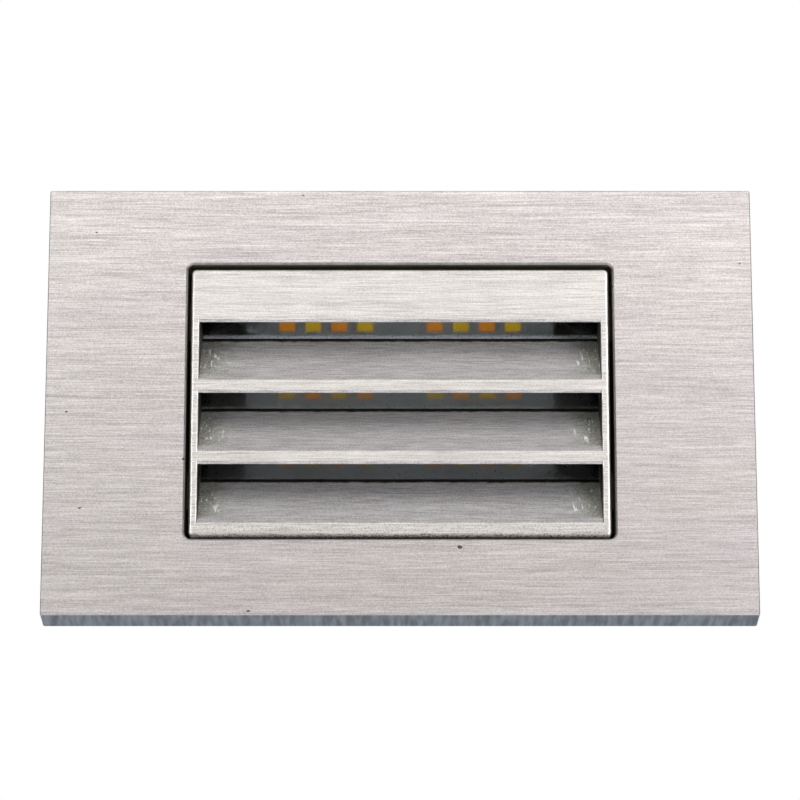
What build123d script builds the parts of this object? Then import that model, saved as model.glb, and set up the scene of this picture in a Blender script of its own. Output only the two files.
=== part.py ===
from build123d import *
from math import copysign
import os

# A louvred LED step light for a single-gang wall box, in millimetres.
# The origin is at the middle of the wall box's mouth, in the wall's surface. +X is to the right,
# +Z is up, and the light faces -Y. Depths are counted from the faceplate's front towards the wall.

# ---- Driving dimensions ----

# Faceplate: a hollow-backed casting whose window frames the louvres
plate_width = 120.0
plate_height = 75.5
plate_depth = 6.7
plate_face = 1.8
plate_corner = 0.35
plate_edge = 0.12
rim_wall = 1.4
ledge_width = 1.8
window_width = 72.4
window_height = 48.8
window_corner = 1.1
window_draft = 4.0
window_edge = 0.3
collar_wall = 1.5
collar_gap = 0.4
rib_thickness = 1.2
rib_depth = 3.4
rib_pitch = 22.0
rib_count = 4

# Magnets and pegs that hold and place the faceplate on the strap
magnet_radius = 4.0
magnet_thickness = 2.0
magnet_fit = 0.05
magnet_gap = 0.1
magnet_wall = 1.4
magnet_inset = 5.8
peg_radius = 2.0
peg_fit = 0.05
peg_short = 0.3
peg_lead = 0.5

# Mounting strap: a stamped steel yoke for a single-gang box
strap_margin = 2.8
strap_thickness = 1.5
strap_corner = 4.0
strap_clearance = 0.35
box_hole_spacing = 83.3
box_slot_length = 7.0
box_slot_width = 3.8

# Foam ring between the faceplate's ledge and the wall
foam_thickness = 1.7
foam_clearance = 0.3

# Louvre grille: a die-cast insert with three slanted blades
grille_gap = 0.6
grille_recess = 0.8
grille_corner = 0.9
grille_draft = 0.5
grille_edge = 0.6
grille_wall = 1.45
slot_draft = 1.3
top_bar_height = 9.45
top_bar_thickness = 2.0
bottom_bar_height = 2.35
lip_height = 2.15
lip_edge = 0.4
lip_round = 0.6
slot_edge = 0.25
ear_screw_edge = 0.1
blade_reach = 9.2
blade_count = 3
blade_grip = 0.5
post_inset = 3.7
post_radius = 2.3
lower_post_length = 8.5
post_tip_gap = 0.8
ear_width = 6.4
ear_length = 8.4
ear_thickness = 1.6
ear_round = 1.5
ear_z = 15.0
ear_hole_reach = 3.4

# Frosted lens and its silicone seal
lens_thickness = 1.6
lens_clearance = 0.6
lens_gap = 0.3
seal_thickness = 0.8
seal_land = 1.4

# LED board
board_side_gap = 6.25
board_top_gap = 0.5
board_height = 34.0
board_thickness = 1.6
led_width = 2.8
led_length = 3.5
led_height = 0.7
led_row_pitch = 12.2
led_first_x = 6.0
led_side_inset = 7.0
led_top_inset = 2.15
led_rows = 3
leds_each_side = 4
board_screw_inset = 1.2
board_screw_drop = 2.3
pad_side_gap = 3.5
pad_end_gap = 2.0
pad_thickness = 0.5

# Housing: the die-cast body that sits in the wall box
housing_inset = 0.4
housing_corner = 3.0
led_pocket_depth = 3.2
pocket_corner = 1.0
floor_thickness = 3.0
cavity_depth = 16.8
cavity_corner = 2.0
housing_wall = 2.6
boss_radius = 3.0
standoff_radius = 2.6
standoff_height = 2.0
groove_width = 1.8
groove_depth = 0.8
groove_pitch = 5.0
groove_count = 10
groove_start = 4.0

# Rear cover, its seal and the supply inlet
cover_thickness = 2.0
cover_lip_height = 2.0
cover_lip_wall = 1.4
cover_lip_gap = 0.3
cover_edge = 0.5
inlet_inset = 13.2
inlet_z = 5.0
inlet_bore = 3.0
inlet_neck = 5.0
inlet_flange = 6.5
inlet_flange_thickness = 1.5
inlet_fit = 0.1

# Screws: shank radius, head radius and head height, with the play in plain holes
screw_clearance = 0.15
thread_fit = 0.04
body_screw_radius = 1.25
body_screw_head = 2.25
body_screw_head_height = 1.5
body_screw_grip = 6.2
ear_screw_radius = 1.25
ear_screw_head = 2.4
board_screw_radius = 1.25
board_screw_head = 2.25
board_screw_head_height = 1.3
board_screw_grip = 1.9
driver_screw_radius = 1.0
driver_screw_head = 1.9
driver_screw_head_height = 1.2
driver_screw_grip = 2.9
ground_screw_radius = 2.0
ground_screw_head = 3.6
ground_screw_head_height = 1.8
ground_screw_inset = 7.0
ground_screw_drop = 8.0
head_chamfer = 0.3

# Driver board and what stands on it
driver_side_gap = 4.6
driver_end_gap = 3.8
driver_thickness = 1.6
driver_screw_inset = 3.5
driver_rest_inset = 2.0
driver_rest_x = -15.5
core_width = 16.0
core_length = 5.0
core_height = 11.5
core_yoke = 2.1
core_leg = 2.1
core_place = (7.5, 6.0)
winding_length = 13.0
winding_gap = 0.1
electrolytic_radius = 4.0
electrolytic_height = 11.0
electrolytic_edge = 0.5
electrolytic_places = [(-22.5, 11.0), (-22.5, -11.0)]
film_size = (12.0, 5.0, 9.0)
film_place = (-8.5, 13.0)
film_round = 0.8
film_bevel = 0.4
inductor_radius = 4.0
inductor_height = 8.0
inductor_flange = 1.2
inductor_waist = 0.7
inductor_place = (8.0, -9.5)
rectifier_size = (4.7, 4.0, 2.6)
rectifier_place = (-11.0, -13.0)
controller_size = (5.0, 4.0, 1.7)
controller_place = (-12.0, -7.5)
chip_chamfer = 0.3
fuse_radius = 1.6
fuse_length = 8.0
fuse_place = (5.0, -15.2)
varistor_radius = 3.5
varistor_thickness = 3.5
varistor_bevel = 0.8
varistor_place = (-4.0, -13.0)
terminal_size = (12.0, 8.0, 9.0)
terminal_inset = 7.0
terminal_drop = 10.0
terminal_count = 3
terminal_pitch = 3.8
terminal_hole = 1.3
terminal_hole_depth = 5.0
header_size = (6.0, 2.5)
header_place = (0.0, -6.5)
header_gap = 0.5

# Colour switch: a three-position slide switch with a long stem
switch_place = (-12.0, 0.0)
switch_length = 13.0
switch_width = 6.8
switch_height = 5.5
switch_wall = 0.6
switch_travel = 2.0
carriage_length = 7.2
carriage_width = 4.8
carriage_thickness = 1.6
carriage_gap = 0.1
stem_length = 3.6
stem_width = 3.0
stem_gap = 0.3
stem_proud = 0.4
stem_bevel = 0.3
finger_recess = 0.8
finger_margin = 2.5
pin_width = 0.8
pin_thickness = 0.4
pin_reach = 3.2
pin_pitch = 3.0
pin_row = 4.0
pin_fit = 0.1

# How near an edge's radius is to the one looked for
round_tolerance = 0.001

# ---- Depths behind the faceplate's front ----

strap_front = plate_depth - strap_thickness
magnet_back = strap_front - magnet_gap
peg_end = plate_depth - peg_short
ear_front = strap_front - ear_thickness
collar_depth = ear_front - collar_gap
lens_front = grille_recess + blade_reach + lens_clearance
lens_back = lens_front + lens_thickness
grille_back = lens_back + seal_thickness
grille_depth = grille_back - grille_recess
pocket_floor = grille_back + led_pocket_depth
board_back = pocket_floor - pad_thickness
board_front = board_back - board_thickness
cavity_front = pocket_floor + floor_thickness
housing_back = cavity_front + cavity_depth
driver_front = cavity_front + standoff_height
driver_back = driver_front + driver_thickness
cover_front = housing_back + seal_thickness
cover_back = cover_front + cover_thickness

# ---- Widths and heights worked out from the outside in ----

inner_width = plate_width - 2 * (rim_wall + ledge_width)
inner_height = plate_height - 2 * (rim_wall + ledge_width)
strap_width = inner_width - 2 * strap_margin
strap_height = inner_height - 2 * strap_margin
magnet_x = strap_width / 2 - magnet_inset
magnet_z = strap_height / 2 - magnet_inset
grille_width = window_width - 2 * grille_gap
grille_height = window_height - 2 * grille_gap
slot_width = grille_width - 2 * grille_wall
slots_height = grille_height - top_bar_height - bottom_bar_height - (blade_count - 1) * lip_height
slot_height = slots_height / blade_count
post_x = grille_width / 2 - post_inset
post_z = grille_height / 2 - post_inset
ear_hole_x = grille_width / 2 + ear_hole_reach
lens_width = slot_width
lens_height = grille_height - 2 * grille_wall
led_pocket_width = lens_width - 2 * seal_land
led_pocket_height = lens_height - 2 * seal_land
board_width = led_pocket_width - 2 * board_side_gap
board_top = led_pocket_height / 2 - board_top_gap
board_middle = (0, board_top - board_height / 2)
housing_width = grille_width - 2 * housing_inset
housing_height = grille_height - 2 * housing_inset
driver_width = housing_width - 2 * (housing_wall + driver_side_gap)
driver_height = housing_height - 2 * (housing_wall + driver_end_gap)


def behind(depth):
    """The plane this far behind the faceplate's front, seen from the front."""
    return Plane.XZ.offset(plate_depth - depth)


def at(place, depth):
    """The point at this (x, z) place and this depth."""
    return (place[0], depth - plate_depth, place[1])


def turned(*profile):
    """A solid turned about the Y axis from the (radius, y) corners of half its section."""
    with BuildPart() as piece:
        with BuildSketch(Plane.XY):
            with BuildLine():
                Polyline(*profile, close=True)
            make_face()
        revolve(axis=Axis.Y)
    return piece.part


def pan_screw(radius, length, head, head_height, facing):
    """A screw seated at y = 0, with its head to the front (facing -1) or to the back (+1)."""
    return turned(
        (0, -facing * length),
        (radius, -facing * length),
        (radius, 0),
        (head, 0),
        (head, facing * (head_height - head_chamfer)),
        (head - head_chamfer, facing * head_height),
        (0, facing * head_height),
    )


def chip(size):
    """A moulded block, lying on y = 0 and rising to the back, with its top edges bevelled."""
    width, length, height = size
    with BuildPart() as piece:
        with BuildSketch(Plane.XZ):
            Rectangle(width, length)
        extrude(amount=-height)
        chamfer(piece.faces().sort_by(Axis.Y)[-1].edges(), chip_chamfer)
    return piece.part


def round_edges(piece, radius):
    """The piece's circular edges of this radius."""
    circles = piece.edges().filter_by(GeomType.CIRCLE)
    return circles.filter_by(lambda edge: abs(edge.radius - radius) < round_tolerance)


post_places = [(x, z) for x in (-post_x, post_x) for z in (-post_z, post_z)]
magnet_places = [(x, z) for x in (-magnet_x, magnet_x) for z in (-magnet_z, magnet_z)]
ear_hole_places = [(x, z) for x in (-ear_hole_x, ear_hole_x) for z in (-ear_z, ear_z)]
ground_screw_place = (ground_screw_inset - strap_width / 2, -ground_screw_drop)

# ---- Outlines that two or more pieces share ----

# Round the grille's corner posts, the lens and its seal are cut back by this radius
post_relief = post_radius + lens_gap

with BuildSketch() as lens_outline:
    Rectangle(lens_width, lens_height)
    with GridLocations(lens_width, lens_height, 2, 2):
        RectangleRounded(
            lens_width - 2 * (post_x - post_relief),
            lens_height - 2 * (post_z - post_relief),
            post_relief,
            mode=Mode.SUBTRACT,
        )

with BuildSketch() as pocket_outline:
    RectangleRounded(led_pocket_width, led_pocket_height, pocket_corner)
    with Locations(*post_places):
        Circle(post_relief + seal_land, mode=Mode.SUBTRACT)

with BuildSketch() as cavity_outline:
    RectangleRounded(housing_width - 2 * housing_wall, housing_height - 2 * housing_wall, cavity_corner)
    with Locations(*post_places):
        Circle(boss_radius, mode=Mode.SUBTRACT)

# ---- Faceplate ----

rib_top = plate_height / 2 - rim_wall / 2
rib_root = window_height / 2 + collar_wall / 2

with BuildPart() as faceplate:
    with BuildSketch(behind(0)):
        RectangleRounded(plate_width, plate_height, plate_corner)
    extrude(amount=-plate_depth)
    with BuildSketch(behind(plate_depth)):
        Rectangle(plate_width - 2 * rim_wall, plate_height - 2 * rim_wall)
    extrude(amount=foam_thickness, mode=Mode.SUBTRACT)
    with BuildSketch(behind(plate_depth)):
        Rectangle(inner_width, inner_height)
    extrude(amount=plate_depth - plate_face, mode=Mode.SUBTRACT)
    # the collar round the window, the magnet cups and the pegs stand on the back of the face
    with BuildSketch(behind(plate_face)):
        RectangleRounded(
            window_width + 2 * collar_wall, window_height + 2 * collar_wall, window_corner + collar_wall
        )
    extrude(amount=plate_face - collar_depth)
    # short ribs tie the collar to the rim, above and below the window
    with BuildSketch(behind(plate_face)):
        for side in (-1, 1):
            with Locations((0, side * (rib_top + rib_root) / 2)):
                with GridLocations(rib_pitch, 0, rib_count, 1):
                    Rectangle(rib_thickness, rib_top - rib_root)
    extrude(amount=plate_face - rib_depth)
    with BuildSketch(behind(plate_face)):
        with Locations(*magnet_places):
            Circle(magnet_radius + magnet_wall)
    extrude(amount=plate_face - magnet_back)
    with BuildSketch(behind(plate_face)):
        with Locations((-magnet_x, 0), (magnet_x, 0)):
            Circle(peg_radius)
    extrude(amount=plate_face - peg_end)
    chamfer(round_edges(faceplate, peg_radius).group_by(Axis.Y)[-1], peg_lead)
    with BuildSketch(behind(magnet_back)):
        with Locations(*magnet_places):
            Circle(magnet_radius + magnet_fit)
    extrude(amount=magnet_thickness, mode=Mode.SUBTRACT)
    with BuildSketch(behind(0)):
        RectangleRounded(window_width, window_height, window_corner)
    extrude(amount=-collar_depth, taper=window_draft, mode=Mode.SUBTRACT)
    front = faceplate.faces().sort_by(Axis.Y)[0]
    chamfer(front.outer_wire().edges(), plate_edge)
    front = faceplate.faces().sort_by(Axis.Y)[0]
    chamfer(front.inner_wires().edges(), window_edge)
faceplate.part.label = "faceplate"

with BuildPart() as faceplate_magnets:
    with BuildSketch(behind(magnet_back)):
        with Locations(*magnet_places):
            Circle(magnet_radius)
    extrude(amount=magnet_thickness)
faceplate_magnets.part.label = "faceplate_magnets"

# ---- Mounting strap and its ground screw ----

with BuildPart() as mounting_strap:
    with BuildSketch(behind(plate_depth)):
        RectangleRounded(strap_width, strap_height, strap_corner)
        RectangleRounded(
            grille_width + 2 * strap_clearance,
            grille_height + 2 * strap_clearance,
            grille_corner + strap_clearance,
            mode=Mode.SUBTRACT,
        )
        with Locations((-box_hole_spacing / 2, 0), (box_hole_spacing / 2, 0)):
            SlotOverall(box_slot_length, box_slot_width, mode=Mode.SUBTRACT)
        with Locations((-magnet_x, 0), (magnet_x, 0)):
            Circle(peg_radius + peg_fit, mode=Mode.SUBTRACT)
        with Locations(*ear_hole_places):
            Circle(ear_screw_radius + thread_fit, mode=Mode.SUBTRACT)
        with Locations(ground_screw_place):
            Circle(ground_screw_radius + thread_fit, mode=Mode.SUBTRACT)
    extrude(amount=strap_thickness)
mounting_strap.part.label = "mounting_strap"

ground = pan_screw(
    ground_screw_radius, strap_thickness, ground_screw_head, ground_screw_head_height, facing=-1
)
with BuildPart() as ground_screw:
    with Locations(at(ground_screw_place, strap_front)):
        add(ground)
ground_screw.part.label = "ground_screw"

# ---- Foam ring behind the faceplate's ledge ----

with BuildPart() as wall_gasket:
    with BuildSketch(behind(plate_depth)):
        Rectangle(
            plate_width - 2 * (rim_wall + foam_clearance), plate_height - 2 * (rim_wall + foam_clearance)
        )
        RectangleRounded(
            strap_width + 2 * foam_clearance,
            strap_height + 2 * foam_clearance,
            strap_corner + foam_clearance,
            mode=Mode.SUBTRACT,
        )
    extrude(amount=foam_thickness)
wall_gasket.part.label = "wall_gasket"

# ---- Louvre grille ----

# Heights of the blades' front lips: each is the lower edge of a slot
slot_pitch = slot_height + lip_height
blade_rise = slot_height
first_lip = grille_height / 2 - top_bar_height - slot_height
lip_tops = [first_lip - step * slot_pitch for step in range(blade_count)]
blade_slope = blade_rise / blade_reach
face_y = grille_recess - plate_depth
blade_end_y = face_y + blade_reach
bar_back_y = face_y + top_bar_thickness
blade_span = slot_width + 2 * blade_grip
post_back_depth = grille_depth - top_bar_thickness
ear_root = grille_width / 2 - grille_wall

with BuildPart() as louvre_grille:
    # the drafted box, then the hollow that the blades cross
    with BuildSketch(behind(grille_recess)):
        RectangleRounded(grille_width, grille_height, grille_corner)
    extrude(amount=-grille_depth, taper=grille_draft)
    face = louvre_grille.faces().sort_by(Axis.Y)[0]
    fillet(face.edges(), grille_edge)
    with BuildSketch(behind(grille_recess)):
        Rectangle(slot_width, grille_height - 2 * grille_wall)
    extrude(amount=-grille_depth, taper=slot_draft, mode=Mode.SUBTRACT)
    face = louvre_grille.faces().sort_by(Axis.Y)[0]
    fillet(face.inner_wires().edges(), slot_edge)
    # the bar above the slots, with its lower side sloped as the blades are
    with BuildSketch(Plane.YZ):
        with BuildLine():
            Polyline(
                (face_y, grille_height / 2 - top_bar_height + lip_edge),
                (face_y, grille_height / 2 - grille_wall / 2),
                (bar_back_y, grille_height / 2 - grille_wall / 2),
                (
                    bar_back_y,
                    grille_height / 2 - top_bar_height + blade_slope * (top_bar_thickness - lip_edge),
                ),
                (face_y + lip_edge, grille_height / 2 - top_bar_height),
                close=True,
            )
        make_face()
    extrude(amount=blade_span / 2, both=True)
    # the blades: each rises inwards from its lip
    for lip_top in lip_tops:
        under_lip = lip_top - lip_height
        with BuildSketch(Plane.YZ):
            with BuildLine():
                Polyline(
                    (face_y, lip_top),
                    (blade_end_y, lip_top + blade_rise),
                    (blade_end_y, under_lip + blade_slope * (blade_reach - lip_edge)),
                    (face_y + lip_edge, under_lip),
                    (face_y, under_lip + lip_edge),
                    close=True,
                )
            make_face()
            fillet(vertices().group_by(Axis.X)[0].sort_by(Axis.Y)[-1], lip_round)
        extrude(amount=blade_span / 2, both=True)
    # the corner posts that take the body screws
    with BuildSketch(behind(grille_back)):
        with Locations(*[place for place in post_places if place[1] > 0]):
            Circle(post_radius)
    extrude(amount=post_back_depth)
    with BuildSketch(behind(grille_back)):
        with Locations(*[place for place in post_places if place[1] < 0]):
            Circle(post_radius)
    extrude(amount=lower_post_length)
    # the lens seat
    with BuildSketch(behind(grille_back)):
        add(lens_outline.sketch)
        offset(amount=lens_gap, mode=Mode.REPLACE)
    extrude(amount=grille_back - lens_front, mode=Mode.SUBTRACT)
    with BuildSketch(behind(grille_back)):
        with Locations(*post_places):
            Circle(body_screw_radius + thread_fit)
    extrude(amount=body_screw_grip + post_tip_gap, mode=Mode.SUBTRACT)
    # the ears that lie on the strap, with countersunk holes
    with BuildSketch(behind(strap_front)):
        with GridLocations(2 * ear_root + ear_length, 2 * ear_z, 2, 2):
            RectangleRounded(ear_length, ear_width, ear_round)
    extrude(amount=ear_thickness)
    with Locations(behind(ear_front)):
        with GridLocations(2 * ear_hole_x, 2 * ear_z, 2, 2):
            CounterSinkHole(ear_screw_radius + screw_clearance, ear_screw_head + ear_screw_edge)
louvre_grille.part.label = "louvre_grille"

ear_screw = turned(
    (0, ear_thickness + strap_thickness),
    (ear_screw_radius, ear_thickness + strap_thickness),
    (ear_screw_radius, ear_screw_head - ear_screw_radius),
    (ear_screw_head, 0),
    (0, 0),
)
with BuildPart() as grille_screws:
    with Locations(*[at(place, ear_front) for place in ear_hole_places]):
        add(ear_screw)
grille_screws.part.label = "grille_screws"

# ---- Lens and its seal ----

with BuildPart() as lens:
    with BuildSketch(behind(lens_front)):
        add(lens_outline.sketch)
    extrude(amount=-lens_thickness)
lens.part.label = "lens"

with BuildPart() as lens_seal:
    with BuildSketch(behind(lens_back)):
        add(lens_outline.sketch)
        add(pocket_outline.sketch, mode=Mode.SUBTRACT)
    extrude(amount=-seal_thickness)
lens_seal.part.label = "lens_seal"

# ---- LED board ----

# One screw at the upper left and one at the lower right, each in a notch in the board's edge
board_screw_x = board_width / 2 - board_screw_inset
board_screw_places = [
    (-board_screw_x, board_top - board_screw_drop),
    (board_screw_x, board_top - board_height + board_screw_drop),
]
notch_radius = board_screw_radius + screw_clearance

with BuildPart() as led_board:
    with BuildSketch(behind(board_front)):
        with Locations(board_middle):
            Rectangle(board_width, board_height)
        with Locations(*board_screw_places):
            Circle(notch_radius, mode=Mode.SUBTRACT)
        for x, z in board_screw_places:
            with Locations((copysign(board_width / 2, x), z)):
                Rectangle(2 * board_screw_inset, 2 * notch_radius, mode=Mode.SUBTRACT)
    extrude(amount=-board_thickness)
led_board.part.label = "led_board"

# Warm and cool packages alternate along each row, and the second row starts with the other one
led_last_x = board_width / 2 - led_side_inset
led_pitch = (led_last_x - led_first_x) / (leds_each_side - 1)
right_columns = [led_first_x + step * led_pitch for step in range(leds_each_side)]
columns = [-x for x in reversed(right_columns)] + right_columns
rows = [board_top - led_top_inset - step * led_row_pitch for step in range(led_rows)]
led_places = [(x, z, i + j) for i, z in enumerate(rows) for j, x in enumerate(columns)]
warm_places = [(x, z) for x, z, order in led_places if order % 2 == 0]
cool_places = [(x, z) for x, z, order in led_places if order % 2 == 1]

with BuildPart() as leds_warm:
    with BuildSketch(behind(board_front)):
        with Locations(*warm_places):
            Rectangle(led_width, led_length)
    extrude(amount=led_height)
leds_warm.part.label = "leds_warm"

with BuildPart() as leds_cool:
    with BuildSketch(behind(board_front)):
        with Locations(*cool_places):
            Rectangle(led_width, led_length)
    extrude(amount=led_height)
leds_cool.part.label = "leds_cool"

board_screw_length = board_thickness + pad_thickness + board_screw_grip
board_screw = pan_screw(
    board_screw_radius, board_screw_length, board_screw_head, board_screw_head_height, facing=-1
)
with BuildPart() as led_board_screws:
    with Locations(*[at(place, board_front) for place in board_screw_places]):
        add(board_screw)
led_board_screws.part.label = "led_board_screws"

header_width, header_length = header_size

with BuildPart() as thermal_pad:
    with BuildSketch(behind(board_back)):
        with Locations(board_middle):
            Rectangle(board_width - 2 * pad_side_gap, board_height - 2 * pad_end_gap)
        with Locations(header_place):
            Rectangle(header_width + 2 * header_gap, header_length + 2 * header_gap, mode=Mode.SUBTRACT)
    extrude(amount=-pad_thickness)
thermal_pad.part.label = "thermal_pad"

# ---- Housing ----

board_screw_tip = board_front + board_screw_length
driver_screw_length = driver_thickness + driver_screw_grip
driver_screw_tip = driver_back - driver_screw_length
driver_screw_x = driver_width / 2 - driver_screw_inset
driver_screw_places = [(driver_screw_x, driver_height / 2 - driver_screw_inset), (-driver_screw_x, 0)]
driver_rest_z = driver_rest_inset - driver_height / 2
driver_rest_places = [(driver_screw_x, driver_rest_z), (driver_rest_x, driver_rest_z)]

with BuildPart() as housing:
    with BuildSketch(behind(grille_back)):
        RectangleRounded(housing_width, housing_height, housing_corner)
    extrude(amount=grille_back - housing_back)
    with BuildSketch(behind(grille_back)):
        add(pocket_outline.sketch)
    extrude(amount=-led_pocket_depth, mode=Mode.SUBTRACT)
    with BuildSketch(behind(housing_back)):
        add(cavity_outline.sketch)
    extrude(amount=cavity_depth, mode=Mode.SUBTRACT)
    # standoffs and rests for the driver board
    with BuildSketch(behind(cavity_front)):
        with Locations(*driver_screw_places, *driver_rest_places):
            Circle(standoff_radius)
    extrude(amount=-standoff_height)
    # holes: body screws right through, board screws and driver screws tapped
    with BuildSketch(behind(grille_back)):
        with Locations(*post_places):
            Circle(body_screw_radius + screw_clearance)
    extrude(amount=grille_back - housing_back, mode=Mode.SUBTRACT)
    with BuildSketch(behind(pocket_floor)):
        with Locations(*board_screw_places):
            Circle(board_screw_radius + thread_fit)
    extrude(amount=pocket_floor - board_screw_tip, mode=Mode.SUBTRACT)
    with BuildSketch(behind(driver_front)):
        with Locations(*driver_screw_places):
            Circle(driver_screw_radius + thread_fit)
    extrude(amount=driver_front - driver_screw_tip, mode=Mode.SUBTRACT)
    with BuildSketch(behind(pocket_floor)):
        with Locations(header_place):
            Rectangle(header_width + 2 * header_gap, header_length + 2 * header_gap)
    extrude(amount=-floor_thickness, mode=Mode.SUBTRACT)
    # shallow cooling grooves along the top and the bottom, open at the back
    with BuildSketch(behind(housing_back)):
        with GridLocations(groove_pitch, housing_height, groove_count, 2):
            Rectangle(groove_width, 2 * groove_depth)
    extrude(amount=housing_back - grille_back - groove_start, mode=Mode.SUBTRACT)
housing.part.label = "housing"

body_screw_length = cover_back - grille_back + body_screw_grip
body_screw = pan_screw(
    body_screw_radius, body_screw_length, body_screw_head, body_screw_head_height, facing=1
)
with BuildPart() as body_screws:
    with Locations(*[at(place, cover_back) for place in post_places]):
        add(body_screw)
body_screws.part.label = "body_screws"

# ---- Driver board and its components ----

pin_places = [
    (switch_place[0] + step * pin_pitch, switch_place[1] + side * pin_row / 2)
    for step in (-1, 0, 1)
    for side in (-1, 1)
]

with BuildPart() as driver_board:
    with BuildSketch(behind(driver_front)):
        Rectangle(driver_width, driver_height)
        with Locations(*driver_screw_places):
            Circle(driver_screw_radius + screw_clearance, mode=Mode.SUBTRACT)
        with Locations(*pin_places):
            Rectangle(pin_width + 2 * pin_fit, pin_thickness + 2 * pin_fit, mode=Mode.SUBTRACT)
    extrude(amount=-driver_thickness)
driver_board.part.label = "driver_board"

driver_screw = pan_screw(
    driver_screw_radius, driver_screw_length, driver_screw_head, driver_screw_head_height, facing=1
)
with BuildPart() as driver_screws:
    with Locations(*[at(place, driver_back) for place in driver_screw_places]):
        add(driver_screw)
driver_screws.part.label = "driver_screws"

# The transformer: a ferrite core with two windows, and the wound bobbin on its middle leg
window_span = core_width / 2 - core_leg - core_yoke
core_inner_height = core_height - 2 * core_yoke

with BuildPart() as transformer_core:
    with BuildSketch(behind(driver_back)):
        with Locations(core_place):
            Rectangle(core_width, core_length)
    extrude(amount=-core_height)
    with BuildSketch(behind(driver_back + core_yoke)):
        with Locations(core_place):
            with GridLocations(2 * core_leg + window_span, 0, 2, 1):
                Rectangle(window_span, core_length)
    extrude(amount=-core_inner_height, mode=Mode.SUBTRACT)
transformer_core.part.label = "transformer_core"

with BuildPart() as transformer_winding:
    with BuildSketch(behind(driver_back + core_yoke + winding_gap)):
        with Locations(core_place):
            RectangleRounded(2 * (core_leg + window_span - winding_gap), winding_length, core_leg)
            Rectangle(2 * (core_leg + winding_gap), core_length + 2 * winding_gap, mode=Mode.SUBTRACT)
    extrude(amount=2 * winding_gap - core_inner_height)
transformer_winding.part.label = "transformer_winding"

electrolytic = turned(
    (0, 0),
    (electrolytic_radius, 0),
    (electrolytic_radius, electrolytic_height - electrolytic_edge),
    (electrolytic_radius - electrolytic_edge, electrolytic_height),
    (0, electrolytic_height),
)
with BuildPart() as electrolytic_capacitors:
    with Locations(*[at(place, driver_back) for place in electrolytic_places]):
        add(electrolytic)
electrolytic_capacitors.part.label = "electrolytic_capacitors"

with BuildPart() as film_capacitor:
    with BuildSketch(behind(driver_back)):
        with Locations(film_place):
            RectangleRounded(film_size[0], film_size[1], film_round)
    extrude(amount=-film_size[2])
    chamfer(film_capacitor.faces().sort_by(Axis.Y)[-1].edges(), film_bevel)
film_capacitor.part.label = "film_capacitor"

drum = turned(
    (0, 0),
    (inductor_radius, 0),
    (inductor_radius, inductor_flange),
    (inductor_radius - inductor_waist, inductor_flange),
    (inductor_radius - inductor_waist, inductor_height - inductor_flange),
    (inductor_radius, inductor_height - inductor_flange),
    (inductor_radius, inductor_height),
    (0, inductor_height),
)
with BuildPart() as inductor:
    with Locations(at(inductor_place, driver_back)):
        add(drum)
inductor.part.label = "inductor"

with BuildPart() as rectifier:
    with Locations(at(rectifier_place, driver_back)):
        add(chip(rectifier_size))
rectifier.part.label = "rectifier"

with BuildPart() as controller:
    with Locations(at(controller_place, driver_back)):
        add(chip(controller_size))
controller.part.label = "controller"

with BuildPart() as fuse:
    with BuildSketch(Plane.YZ.offset(fuse_place[0] - fuse_length / 2)):
        with Locations((driver_back + fuse_radius - plate_depth, fuse_place[1])):
            Circle(fuse_radius)
    extrude(amount=fuse_length)
fuse.part.label = "fuse"

with BuildPart() as varistor:
    with BuildSketch(Plane.YZ.offset(varistor_place[0] - varistor_thickness / 2)):
        with Locations((driver_back + varistor_radius - plate_depth, varistor_place[1])):
            Circle(varistor_radius)
    extrude(amount=varistor_thickness)
    chamfer(varistor.edges().filter_by(GeomType.CIRCLE), varistor_bevel)
varistor.part.label = "varistor"

terminal_width, terminal_length, terminal_height = terminal_size
terminal_place = (driver_width / 2 - terminal_inset, -terminal_drop)

with BuildPart() as wire_terminals:
    with BuildSketch(behind(driver_back)):
        with Locations(terminal_place):
            Rectangle(terminal_width, terminal_length)
    extrude(amount=-terminal_height)
    with BuildSketch(behind(driver_back + terminal_height)):
        with Locations(terminal_place):
            with GridLocations(terminal_pitch, 0, terminal_count, 1):
                Circle(terminal_hole)
    extrude(amount=terminal_hole_depth, mode=Mode.SUBTRACT)
wire_terminals.part.label = "wire_terminals"

with BuildPart() as led_header:
    with BuildSketch(behind(board_back)):
        with Locations(header_place):
            Rectangle(header_width, header_length)
    extrude(amount=board_back - driver_front)
led_header.part.label = "led_header"

# ---- Colour switch ----

# The carriage slides in the case, and its stem comes out through the case and the rear cover
case_back = driver_back + switch_height
carriage_back = case_back - switch_wall - carriage_gap
carriage_space = carriage_length + 2 * (switch_travel + carriage_gap)
stem_window = stem_length + 2 * (switch_travel + stem_gap)
stem_window_width = stem_width + 2 * stem_gap

with BuildPart() as switch_case:
    with BuildSketch(behind(driver_back)):
        with Locations(switch_place):
            Rectangle(switch_length, switch_width)
    extrude(amount=-switch_height)
    with BuildSketch(behind(case_back - switch_wall)):
        with Locations(switch_place):
            Rectangle(carriage_space, carriage_width + 2 * carriage_gap)
    extrude(amount=carriage_thickness + 2 * carriage_gap, mode=Mode.SUBTRACT)
    with BuildSketch(behind(case_back)):
        with Locations(switch_place):
            Rectangle(stem_window, stem_window_width)
    extrude(amount=switch_wall, mode=Mode.SUBTRACT)
switch_case.part.label = "switch_case"

with BuildPart() as switch_pins:
    with BuildSketch(behind(driver_back)):
        with Locations(*pin_places):
            Rectangle(pin_width, pin_thickness)
    extrude(amount=pin_reach)
switch_pins.part.label = "switch_pins"

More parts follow.
